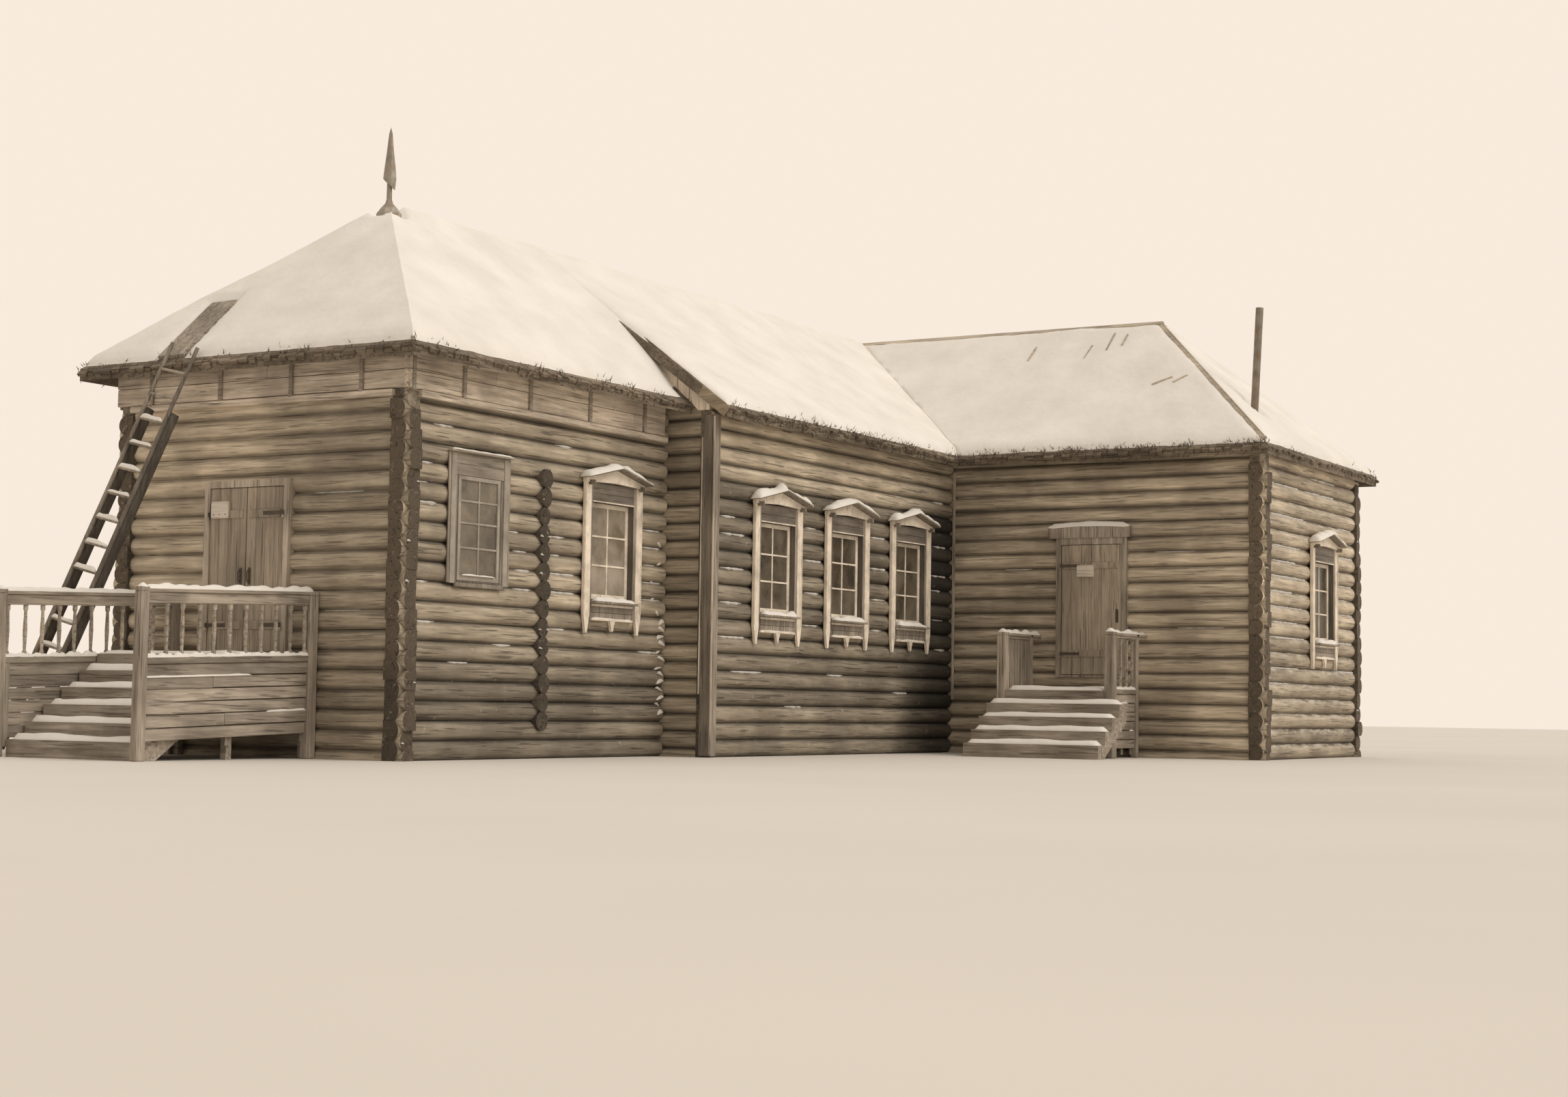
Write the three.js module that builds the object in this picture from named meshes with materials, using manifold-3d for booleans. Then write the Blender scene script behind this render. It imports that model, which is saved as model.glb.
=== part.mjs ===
// A single-storey log church: a hip-ended west block, a wider nave behind it
// and a transverse wing across the far end. Millimetres, +Z up.
// X runs along the church from the west door, Y runs away to the north.
// The origin lies at ground level on the centre lines of the south-west corner.
// Sizes below are taken from that corner's outer faces; the building group shifts them.

import * as THREE from 'three';
import { mergeVertices } from 'three/addons/utils/BufferGeometryUtils.js';
import Module from 'manifold-3d';

const wasm = await Module();
wasm.setup();

// Driving dimensions
const WEST_LENGTH = 5900;
const WEST_WIDTH = 4920;
const NAVE_LENGTH = 7750;
const NAVE_STEP = 800;
const WING_LENGTH = 5150;
const WING_STEP = 6340;
const WALL = 240;
const COURSE = 250;
const LOG_RADIUS = 140;
const LOG_END = 40;
const CORNER_CORE = 40;
const OVERHANG = 400;
const NAVE_OVERHANG = 300;
const WING_SIDE_OVERHANG = 400;
const WING_END_OVERHANG = 200;
const NAVE_VERGE = 150;
const VERGE_IN = 1150;
const WEST_EAVE_Z = 5120;
const EAVE_Z = 5020;
const RIDGE_Z = 7560;
const ROOF_DEPTH = 160;
const FLOOR_Z = 1300;
const FLOOR_DEPTH = 200;
const GAP = 0.3;

// Windows: half width of the hole and of the casing, and the height of each wall's sills
const HOODED = { half: 525, outer: 725 };
const PLAIN = { half: 460, outer: 645 };
const WINDOW_HEIGHT = 1400;
const PLAIN_SILL_Z = 2260;
const WEST_HOOD_SILL_Z = 2160;
const NAVE_SILL_Z = 2100;
const WING_SILL_Z = 1950;

const WEST_DOOR = { y0: 1860, y1: 3320, z1: 3560 };
const WING_DOOR = { y0: -4010, y1: -2750, z1: 3600 };

const PORCH = { y0: 1410, y1: 3770, length: 2900 };
const STOOP = { y0: -4300, y1: -2420, length: 1400 };
const STEP_RUN = 280;
const PORCH_LANDING_Z = 1280;
const STOOP_LANDING_Z = 1070;
const RAIL_TOP_Z = 2000;

// Derived positions
const X1 = WEST_LENGTH;
const X2 = X1 + NAVE_LENGTH;
const X3 = X2 + WING_LENGTH;
const MID_Y = WEST_WIDTH / 2;
const NAVE_SOUTH = -NAVE_STEP;
const NAVE_NORTH = WEST_WIDTH + NAVE_STEP;
const WING_SOUTH = -WING_STEP;
const WING_NORTH = WEST_WIDTH + WING_STEP;
const WING_RIDGE_X = (X2 + X3) / 2;
const HIP_RUN = MID_Y + OVERHANG;
const WING_RUN = WING_LENGTH / 2 + WING_SIDE_OVERHANG;
const NAVE_RUN = MID_Y + NAVE_STEP + NAVE_OVERHANG;
const WEST_SLOPE = (RIDGE_Z - WEST_EAVE_Z) / HIP_RUN;
const NAVE_SLOPE = (RIDGE_Z - EAVE_Z) / NAVE_RUN;
const WING_SLOPE = (RIDGE_Z - EAVE_Z) / WING_RUN;
const WEST_WALL_TOP = WEST_EAVE_Z + OVERHANG * WEST_SLOPE - ROOF_DEPTH - GAP;
const NAVE_WALL_TOP = EAVE_Z + NAVE_OVERHANG * NAVE_SLOPE - ROOF_DEPTH - GAP;
const WING_WALL_TOP = EAVE_Z + WING_SIDE_OVERHANG * WING_SLOPE - ROOF_DEPTH - GAP;
const WING_END_TOP = EAVE_Z + WING_END_OVERHANG * WING_SLOPE - ROOF_DEPTH - GAP;

// Window centres along X
const WEST_PLAIN_WINDOW = 1470;
const WEST_HOOD_WINDOW = 4490;
const CROSS_WALL_X = 2900;
const NAVE_WINDOWS = [X1 + 1790, X1 + 3950, X1 + 6120];
const WING_WINDOW = X2 + 3060;

const part = new THREE.Group();
part.name = 'log_church';
const building = new THREE.Group();
building.position.set(-WALL / 2, -WALL / 2, 0);
part.add(building);

const paint = {
  log: () => new THREE.MeshStandardMaterial({ color: 0x4a3f33, roughness: 0.95, metalness: 0 }),
  roof: () => new THREE.MeshStandardMaterial({ color: 0x5b5146, roughness: 0.95, metalness: 0 }),
  board: () => new THREE.MeshStandardMaterial({ color: 0x6b5f50, roughness: 0.9, metalness: 0 }),
  casing: () => new THREE.MeshStandardMaterial({ color: 0xb9ab93, roughness: 0.8, metalness: 0 }),
  door: () => new THREE.MeshStandardMaterial({ color: 0x5a4e41, roughness: 0.85, metalness: 0 }),
  glass: () => new THREE.MeshStandardMaterial({ color: 0x8d8f8a, roughness: 0.15, metalness: 0 }),
  metal: () => new THREE.MeshStandardMaterial({ color: 0x3a3632, roughness: 0.6, metalness: 0.7 }),
};

// A closed geometry as a solid that can be joined and cut
function solid(geometry) {
  const bare = geometry.clone();
  bare.deleteAttribute('normal');
  bare.deleteAttribute('uv');
  const merged = mergeVertices(bare, 1e-3);
  return new wasm.Manifold(new wasm.Mesh({
    numProp: 3,
    vertProperties: new Float32Array(merged.attributes.position.array),
    triVerts: new Uint32Array(merged.index.array),
  }));
}

function surface(body) {
  const mesh = body.getMesh();
  const geometry = new THREE.BufferGeometry();
  geometry.setAttribute('position', new THREE.BufferAttribute(new Float32Array(mesh.vertProperties), 3));
  geometry.setIndex(new THREE.BufferAttribute(new Uint32Array(mesh.triVerts), 1));
  const flat = geometry.toNonIndexed();
  flat.computeVertexNormals();
  return flat;
}

function joined(bodies) {
  let result = bodies[0];
  for (const body of bodies.slice(1)) {
    result = result.add(body);
  }
  return result;
}

function block(x0, x1, y0, y1, z0, z1) {
  const geometry = new THREE.BoxGeometry(x1 - x0, y1 - y0, z1 - z0);
  geometry.translate((x0 + x1) / 2, (y0 + y1) / 2, (z0 + z1) / 2);
  return solid(geometry);
}

function outline(points) {
  const shape = new THREE.Shape();
  shape.moveTo(points[0][0], points[0][1]);
  for (const [u, v] of points.slice(1)) {
    shape.lineTo(u, v);
  }
  shape.closePath();
  return shape;
}

// Outline in (y, z), drawn out along X
function alongX(points, x0, x1) {
  const geometry = new THREE.ExtrudeGeometry(outline(points), { depth: x1 - x0, bevelEnabled: false });
  const axes = new THREE.Matrix4();
  axes.makeBasis(new THREE.Vector3(0, 1, 0), new THREE.Vector3(0, 0, 1), new THREE.Vector3(1, 0, 0));
  geometry.applyMatrix4(axes);
  geometry.translate(x0, 0, 0);
  return solid(geometry);
}

// Outline in (x, z), drawn out along Y
function alongY(points, y0, y1) {
  const geometry = new THREE.ExtrudeGeometry(outline(points), { depth: y1 - y0, bevelEnabled: false });
  const axes = new THREE.Matrix4();
  axes.makeBasis(new THREE.Vector3(1, 0, 0), new THREE.Vector3(0, 0, 1), new THREE.Vector3(0, -1, 0));
  geometry.applyMatrix4(axes);
  geometry.translate(0, y1, 0);
  return solid(geometry);
}

// Outline in (x, y), drawn up along Z
function alongZ(points, z0, z1) {
  const geometry = new THREE.ExtrudeGeometry(outline(points), { depth: z1 - z0, bevelEnabled: false });
  geometry.translate(0, 0, z0);
  return solid(geometry);
}

function place(name, geometry, material, position = [0, 0, 0], turn = 0, group = building) {
  const mesh = new THREE.Mesh(geometry, material);
  mesh.name = name;
  mesh.position.set(position[0], position[1], position[2]);
  mesh.rotation.z = turn;
  group.add(mesh);
  return mesh;
}

// How far a round log's face lies behind its widest point, at height z
function hollowAt(z, shift) {
  const inCourse = ((z - shift) / COURSE) - Math.floor((z - shift) / COURSE);
  const off = (inCourse - 0.5) * COURSE;
  return LOG_RADIUS - Math.sqrt(LOG_RADIUS * LOG_RADIUS - off * off);
}

// Heights at which the stacked logs' outline has a corner
function courseHeights(z0, z1, shift) {
  const heights = [z0];
  const first = Math.floor((z0 - shift) / COURSE) - 1;
  const last = Math.ceil((z1 - shift) / COURSE) + 1;
  for (let k = first; k <= last; k += 1) {
    for (const part01 of [0, 0.25, 0.75]) {
      const z = shift + (k + part01) * COURSE;
      if (z > z0 + 15 && z < z1 - 15) {
        heights.push(z);
      }
    }
  }
  heights.push(z1);
  return heights;
}

// Logs seen in section: round outside, hewn flat inside
function wallSection(z0, z1, shift) {
  const points = courseHeights(z0, z1, shift).map((z) => [hollowAt(z, shift), z]);
  points.push([WALL, z1]);
  points.push([WALL, z0]);
  return points.reverse();
}

// Log ends seen in section: round on both sides
function stackSection(z0, z1, shift) {
  const heights = courseHeights(z0, z1, shift);
  const near = heights.map((z) => [hollowAt(z, shift), z]);
  const far = heights.map((z) => [WALL - hollowAt(z, shift), z]).reverse();
  return near.concat(far).reverse();
}

// A log wall: its outer face looks along -Y, it runs along +X from 0.
// holes: [u0, u1, z0, z1]; ends: stacks of crossing logs at u, with the wall's own ends beyond
function logWall({ length, z0 = 0, z1, shift = 0, holes = [], corners = [], columns = [], stackTop = 4500 }) {
  const from = corners.includes(-1) ? WALL : 0;
  const to = corners.includes(1) ? length - WALL : length;
  const bodies = [alongX(wallSection(z0, z1, shift), from, to)];
  const crossShift = COURSE / 2 - shift;
  for (const side of corners) {
    const u = side < 0 ? 0 : length - WALL;
    bodies.push(block(u, u + WALL, CORNER_CORE, WALL, 0, z1));
    const cross = stackSection(0, stackTop, crossShift).map(([v, z]) => [u + v, z]);
    bodies.push(alongY(cross, -LOG_END, CORNER_CORE));
    const own = stackSection(0, stackTop, shift);
    bodies.push(side < 0 ? alongX(own, -LOG_END, 0) : alongX(own, length, length + LOG_END));
  }
  for (const u of columns) {
    const cross = stackSection(COURSE, stackTop - COURSE * 3, crossShift).map(([v, z]) => [u - WALL / 2 + v, z]);
    bodies.push(alongY(cross, -LOG_END, 60));
  }
  let body = joined(bodies);
  for (const [u0, u1, h0, h1] of holes) {
    body = body.subtract(block(u0, u1, -400, WALL + 100, h0, h1));
  }
  return surface(body);
}

function windowHole(u, kind, sill) {
  return [u - kind.half - GAP, u + kind.half + GAP, sill - GAP, sill + WINDOW_HEIGHT + GAP];
}

// Turns that point a wall's outer face west, north or east
const WEST = -Math.PI / 2;
const NORTH = Math.PI;
const EAST = Math.PI / 2;

// West block walls
const sideHoles = [
  windowHole(WEST_PLAIN_WINDOW, PLAIN, PLAIN_SILL_Z),
  windowHole(WEST_HOOD_WINDOW, HOODED, WEST_HOOD_SILL_Z),
];
place('west_block_south_wall', logWall({
  length: WEST_LENGTH - GAP,
  z1: WEST_WALL_TOP,
  holes: sideHoles,
  corners: [-1],
  columns: [CROSS_WALL_X],
}), paint.log());

place('west_block_north_wall', logWall({
  length: WEST_LENGTH - GAP,
  z1: WEST_WALL_TOP,
  holes: sideHoles.map(([u0, u1, h0, h1]) => [X1 - GAP - u1, X1 - GAP - u0, h0, h1]),
  corners: [1],
  columns: [X1 - GAP - CROSS_WALL_X],
}), paint.log(), [X1 - GAP, WEST_WIDTH, 0], NORTH);

const crossed = COURSE / 2;

function westWallPiece(name, y0, y1, z0, z1) {
  place(name, logWall({ length: y1 - y0, z0, z1, shift: crossed }), paint.log(), [0, y1, 0], WEST);
}
westWallPiece('west_wall_south_of_door', WALL + GAP, WEST_DOOR.y0 - GAP, 0, WEST_WALL_TOP);
westWallPiece('west_wall_north_of_door', WEST_DOOR.y1 + GAP, WEST_WIDTH - WALL - GAP, 0, WEST_WALL_TOP);
westWallPiece('west_wall_over_door', WEST_DOOR.y0, WEST_DOOR.y1, WEST_DOOR.z1 + GAP, WEST_WALL_TOP);
westWallPiece('west_wall_under_door', WEST_DOOR.y0, WEST_DOOR.y1, 0, FLOOR_Z - GAP);

// Nave walls
const returnLength = NAVE_STEP - GAP;
place('nave_south_return_wall', logWall({
  length: returnLength,
  z1: NAVE_WALL_TOP,
  shift: crossed,
}), paint.log(), [X1, WALL, 0], WEST);

place('nave_north_return_wall', logWall({
  length: returnLength,
  z1: NAVE_WALL_TOP,
  shift: crossed,
}), paint.log(), [X1, NAVE_NORTH - WALL - GAP, 0], WEST);

place('nave_south_wall', logWall({
  length: NAVE_LENGTH - GAP,
  z1: NAVE_WALL_TOP,
  holes: NAVE_WINDOWS.map((x) => windowHole(x - X1, HOODED, NAVE_SILL_Z)),
}), paint.log(), [X1, NAVE_SOUTH, 0]);

place('nave_north_wall', logWall({
  length: NAVE_LENGTH - GAP,
  z1: NAVE_WALL_TOP,
  holes: NAVE_WINDOWS.map((x) => windowHole(X2 - GAP - x, HOODED, NAVE_SILL_Z)),
}), paint.log(), [X2 - GAP, NAVE_NORTH, 0], NORTH);

// Wing walls
function wingFrontPiece(name, y0, y1, z0, z1) {
  place(name, logWall({ length: y1 - y0, z0, z1, shift: crossed }), paint.log(), [X2, y1, 0], WEST);
}
const wingFrontEnd = NAVE_SOUTH + WALL;
wingFrontPiece('wing_front_wall_corner', WING_SOUTH + WALL + GAP, WING_DOOR.y0 - GAP, 0, WING_WALL_TOP);
wingFrontPiece('wing_front_wall_inner', WING_DOOR.y1 + GAP, wingFrontEnd, 0, WING_WALL_TOP);
wingFrontPiece('wing_front_wall_over_door', WING_DOOR.y0, WING_DOOR.y1, WING_DOOR.z1 + GAP, WING_WALL_TOP);
wingFrontPiece('wing_front_wall_under_door', WING_DOOR.y0, WING_DOOR.y1, 0, FLOOR_Z - GAP);
wingFrontPiece('wing_front_wall_north', NAVE_NORTH - WALL, WING_NORTH - WALL - GAP, 0, WING_WALL_TOP);

const wingHole = windowHole(WING_WINDOW - X2, HOODED, WING_SILL_Z);
place('wing_south_wall', logWall({
  length: WING_LENGTH,
  z1: WING_END_TOP,
  holes: [wingHole],
  corners: [-1, 1],
  stackTop: 4750,
}), paint.log(), [X2, WING_SOUTH, 0]);

place('wing_north_wall', logWall({
  length: WING_LENGTH,
  z1: WING_END_TOP,
  holes: [[WING_LENGTH - wingHole[1], WING_LENGTH - wingHole[0], wingHole[2], wingHole[3]]],
  corners: [-1, 1],
  stackTop: 4750,
}), paint.log(), [X3, WING_NORTH, 0], NORTH);

place('wing_rear_wall', logWall({
  length: WING_NORTH - WING_SOUTH - 2 * (WALL + GAP),
  z1: WING_WALL_TOP,
  shift: crossed,
}), paint.log(), [X3, WING_SOUTH + WALL + GAP, 0], EAST);

// Floors
place('west_block_floor', surface(alongZ([
  [WALL + GAP, WALL + GAP],
  [X1 - GAP, WALL + GAP],
  [X1 - GAP, WEST_WIDTH - WALL - GAP],
  [WALL + GAP, WEST_WIDTH - WALL - GAP],
], FLOOR_Z - FLOOR_DEPTH, FLOOR_Z)), paint.board());

const naveIn = NAVE_SOUTH + WALL + GAP;
const naveOut = NAVE_NORTH - WALL - GAP;
place('nave_floor', surface(alongZ([
  [X1 + WALL + GAP, naveIn],
  [X2 - GAP, naveIn],
  [X2 - GAP, naveOut],
  [X1 + WALL + GAP, naveOut],
  [X1 + WALL + GAP, WEST_WIDTH - WALL - GAP],
  [X1 + GAP, WEST_WIDTH - WALL - GAP],
  [X1 + GAP, WALL + GAP],
  [X1 + WALL + GAP, WALL + GAP],
], FLOOR_Z - FLOOR_DEPTH, FLOOR_Z)), paint.board());

place('wing_floor', surface(alongZ([
  [X2 + WALL + GAP, WING_SOUTH + WALL + GAP],
  [X3 - WALL - GAP, WING_SOUTH + WALL + GAP],
  [X3 - WALL - GAP, WING_NORTH - WALL - GAP],
  [X2 + WALL + GAP, WING_NORTH - WALL - GAP],
  [X2 + WALL + GAP, naveOut],
  [X2 + GAP, naveOut],
  [X2 + GAP, naveIn],
  [X2 + WALL + GAP, naveIn],
], FLOOR_Z - FLOOR_DEPTH, FLOOR_Z)), paint.board());

// A roof slab: each face is a list of [x, y, top z] corners, counter-clockwise from above
function roofSlab(faces, depth) {
  const positions = [];
  const edges = new Map();
  const push = (...corners) => {
    for (const corner of corners) {
      positions.push(corner[0], corner[1], corner[2]);
    }
  };
  const lower = ([x, y, z]) => [x, y, z - depth];
  for (const face of faces) {
    for (let i = 1; i + 1 < face.length; i += 1) {
      push(face[0], face[i], face[i + 1]);
      push(lower(face[0]), lower(face[i + 1]), lower(face[i]));
    }
    for (let i = 0; i < face.length; i += 1) {
      const a = face[i];
      const b = face[(i + 1) % face.length];
      const back = b.join() + '|' + a.join();
      if (edges.has(back)) {
        edges.delete(back);
      } else {
        edges.set(a.join() + '|' + b.join(), [a, b]);
      }
    }
  }
  for (const [a, b] of edges.values()) {
    push(a, lower(a), lower(b));
    push(a, lower(b), b);
  }
  const geometry = new THREE.BufferGeometry();
  geometry.setAttribute('position', new THREE.BufferAttribute(new Float32Array(positions), 3));
  return solid(geometry);
}

const wx0 = -OVERHANG;
const wy0 = -OVERHANG;
const wy1 = WEST_WIDTH + OVERHANG;
const westApex = [MID_Y, MID_Y, RIDGE_Z];
const westRidgeEnd = [X1 - GAP, MID_Y, RIDGE_Z];
const westRoof = roofSlab([
  [[wx0, wy0, WEST_EAVE_Z], [X1 - GAP, wy0, WEST_EAVE_Z], westRidgeEnd, westApex],
  [[X1 - GAP, wy1, WEST_EAVE_Z], [wx0, wy1, WEST_EAVE_Z], westApex, westRidgeEnd],
  [[wx0, wy1, WEST_EAVE_Z], [wx0, wy0, WEST_EAVE_Z], westApex],
], ROOF_DEPTH);
place('west_block_roof', surface(westRoof), paint.roof());

// The nave roof starts at the west block's roof end and closes on the wing's valleys
const ny0 = NAVE_SOUTH - NAVE_OVERHANG;
const ny1 = NAVE_NORTH + NAVE_OVERHANG;
const valleyX = X2 - WING_SIDE_OVERHANG;
const naveRidge0 = [X1, MID_Y, RIDGE_Z];
const naveRidge1 = [WING_RIDGE_X - 1, MID_Y, RIDGE_Z];
let naveRoof = roofSlab([
  [[X1, ny0, EAVE_Z], [valleyX - 1, ny0, EAVE_Z], naveRidge1, naveRidge0],
  [[valleyX - 1, ny1, EAVE_Z], [X1, ny1, EAVE_Z], naveRidge0, naveRidge1],
], ROOF_DEPTH);

// Its verge reaches a little past the gable, over the west block's eaves
function vergeStrip(side) {
  const yEave = side < 0 ? ny0 : ny1;
  const yIn = side < 0 ? VERGE_IN : WEST_WIDTH - VERGE_IN;
  const zIn = EAVE_Z + Math.abs(yIn - yEave) * NAVE_SLOPE;
  const face = [
    [X1 - NAVE_VERGE, yEave, EAVE_Z],
    [X1 + 20, yEave, EAVE_Z],
    [X1 + 20, yIn, zIn],
    [X1 - NAVE_VERGE, yIn, zIn],
  ];
  return roofSlab([side < 0 ? face : face.reverse()], ROOF_DEPTH);
}
naveRoof = naveRoof.add(vergeStrip(-1)).add(vergeStrip(1));
place('nave_roof', surface(naveRoof), paint.roof());

// The wing roof is hipped at both ends and notched along the valleys
const vx0 = X2 - WING_SIDE_OVERHANG;
const vx1 = X3 + WING_SIDE_OVERHANG;
const vy0 = WING_SOUTH - WING_END_OVERHANG;
const vy1 = WING_NORTH + WING_END_OVERHANG;
const ridgeS = [WING_RIDGE_X, vy0 + WING_RUN, RIDGE_Z];
const ridgeN = [WING_RIDGE_X, vy1 - WING_RUN, RIDGE_Z];
const ridgeT = [WING_RIDGE_X, MID_Y, RIDGE_Z];
const stovePipe = { x: 15300, y: -5610, radius: 65, wall: 8, lean: 0.05, height: 1760 };
const pipeRoofZ = EAVE_Z + (stovePipe.y - vy0) * WING_SLOPE;

// A round bar on the stovepipe's axis, from below to above the roof surface; the pipe leans to the south
function pipeBar(radius, below, above) {
  const geometry = new THREE.CylinderGeometry(radius, radius, below + above, 12);
  geometry.rotateX(Math.PI / 2);
  geometry.translate(0, 0, (above - below) / 2);
  geometry.rotateX(stovePipe.lean);
  geometry.translate(stovePipe.x, stovePipe.y, pipeRoofZ);
  return solid(geometry);
}

let wingRoof = roofSlab([
  [[vx0, vy0, EAVE_Z], [vx1, vy0, EAVE_Z], ridgeS],
  [[vx1, vy1, EAVE_Z], [vx0, vy1, EAVE_Z], ridgeN],
  [[vx1, vy0, EAVE_Z], [vx1, vy1, EAVE_Z], ridgeN, ridgeT, ridgeS],
  [[vx0, ny0, EAVE_Z], [vx0, vy0, EAVE_Z], ridgeS, ridgeT],
  [[vx0, vy1, EAVE_Z], [vx0, ny1, EAVE_Z], ridgeT, ridgeN],
], ROOF_DEPTH);
wingRoof = wingRoof.subtract(pipeBar(stovePipe.radius + GAP, 400, 400));
place('wing_roof', surface(wingRoof), paint.roof());

// Boarded gable between the two roof slopes, on the nave's end walls
const gableBase = NAVE_WALL_TOP + GAP;
const gableTop = RIDGE_Z - ROOF_DEPTH - GAP;
const gableHalf = (gableTop - gableBase) / NAVE_SLOPE;
place('nave_gable', surface(alongX([
  [MID_Y - gableHalf, gableBase],
  [MID_Y + gableHalf, gableBase],
  [MID_Y, gableTop],
], X1 + GAP, X1 + 50)), paint.board());

// Windows: local frame centred on the hole at sill height, outer wall face at y = 0
function windowUnit(kind) {
  const { half, outer } = kind;
  const hooded = kind === HOODED;
  const z0 = 0;
  const z1 = WINDOW_HEIGHT;
  const lap = 40;
  const back = -GAP;
  const face = -50;
  const ring = block(-half, half, face + 10, 110, z0, z1)
    .subtract(block(-half + 60, half - 60, -200, 300, z0 + 60, z1 - 60));
  const bodies = [ring];
  const foot = hooded ? z0 - 420 : z0 - 20;
  for (const side of [-1, 1]) {
    const inner = half - lap;
    const a = Math.min(side * inner, side * outer);
    const b = Math.max(side * inner, side * outer);
    bodies.push(block(a, b, face, back, foot, z1 + 20));
  }
  const bars = hooded ? [0.333, 0.667] : [0.29, 0.55, 0.78];
  bodies.push(block(-18, 18, 30, 70, z0 + 30, z1 - 30));
  for (const at of bars) {
    const z = z0 + 60 + (z1 - z0 - 120) * at;
    bodies.push(block(-half + 30, half - 30, 32, 68, z - 16, z + 16));
  }
  if (hooded) {
    const tip = z1 + 320;
    const peak = z1 + 500;
    const reach = outer + 60;
    bodies.push(block(-outer, outer, face, back, z1 - 20, tip - 60));
    bodies.push(alongY([
      [-outer, tip - 80],
      [outer, tip - 80],
      [outer, tip - 30],
      [0, peak - 30],
      [-outer, tip - 30],
    ], face - 10, back));
    bodies.push(alongY([
      [-reach, tip - 35],
      [-reach + 20, tip - 50],
      [0, peak - 60],
      [reach - 20, tip - 50],
      [reach, tip - 35],
      [reach, tip],
      [0, peak],
      [-reach, tip],
    ], -190, back));
    bodies.push(block(-half - 10, half + 10, -130, back, z0 - 70, z0 + 20));
    bodies.push(block(-half - 10, half + 10, face + 10, back, z0 - 270, z0 - 50));
    bodies.push(alongY([
      [-70, z0 - 250],
      [0, z0 - 420],
      [70, z0 - 250],
    ], face - 10, back));
  } else {
    bodies.push(block(-outer, outer, face, back, z1 - 20, z1 + 260));
    bodies.push(block(-outer - 10, outer + 10, -90, back, z1 + 255, z1 + 300));
    bodies.push(block(-outer, outer, face, back, z0 - 60, z0 + 30));
  }
  return surface(joined(bodies));
}

const hoodedWindow = windowUnit(HOODED);
const plainWindow = windowUnit(PLAIN);
function windowPair(name, geometry, x, south, north, sill) {
  place(name + '_south', geometry.clone(), paint.casing(), [x, south, sill], 0);
  place(name + '_north', geometry.clone(), paint.casing(), [x, north, sill], NORTH);
}
windowPair('west_block_plain_window', plainWindow, WEST_PLAIN_WINDOW, 0, WEST_WIDTH, PLAIN_SILL_Z);
windowPair('west_block_hood_window', hoodedWindow, WEST_HOOD_WINDOW, 0, WEST_WIDTH, WEST_HOOD_SILL_Z);
const naveNames = ['west', 'middle', 'east'];
NAVE_WINDOWS.forEach((x, i) => {
  windowPair('nave_' + naveNames[i] + '_window', hoodedWindow, x, NAVE_SOUTH, NAVE_NORTH, NAVE_SILL_Z);
});
windowPair('wing_window', hoodedWindow, WING_WINDOW, WING_SOUTH, WING_NORTH, WING_SILL_Z);

// One sheet of glass on the inner face behind each wall's windows
function glassSheet(name, x0, x1, wallY, inward, sill, topSill) {
  const near = wallY + inward * (WALL + GAP);
  const far = near + inward * 6;
  const z0 = sill - 40;
  const z1 = topSill + WINDOW_HEIGHT + 40;
  const geometry = new THREE.BoxGeometry(x1 - x0, 6, z1 - z0);
  place(name, geometry, paint.glass(), [(x0 + x1) / 2, (near + far) / 2, (z0 + z1) / 2]);
}
const paneHalf = HOODED.half + 40;
function glassPair(name, first, last, south, north, sill, topSill) {
  glassSheet(name + '_south', first - paneHalf, last + paneHalf, south, 1, sill, topSill);
  glassSheet(name + '_north', first - paneHalf, last + paneHalf, north, -1, sill, topSill);
}
const naveLast = NAVE_WINDOWS[NAVE_WINDOWS.length - 1];
glassPair('west_block_glass', WEST_PLAIN_WINDOW, WEST_HOOD_WINDOW, 0, WEST_WIDTH, WEST_HOOD_SILL_Z, PLAIN_SILL_Z);
glassPair('nave_glass', NAVE_WINDOWS[0], naveLast, NAVE_SOUTH, NAVE_NORTH, NAVE_SILL_Z, NAVE_SILL_Z);
glassPair('wing_glass', WING_WINDOW, WING_WINDOW, WING_SOUTH, WING_NORTH, WING_SILL_Z, WING_SILL_Z);

// Door frames: jambs, head and threshold with a stop behind the leaves. Outer face looks along -X.
const JAMB = 90;
const LEAF_DEPTH = 46;
const LEAF_GAP = 7;
const LEAF_BACK = 32;
const PIN_OUT = 30;
const KNUCKLE = 13;
const HINGE_AT = [0.16, 0.84];

function hingeHeights(door) {
  const z0 = FLOOR_Z + 40 + LEAF_GAP;
  const z1 = door.z1 - JAMB - LEAF_GAP;
  return HINGE_AT.map((at) => z0 + (z1 - z0) * at);
}

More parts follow.
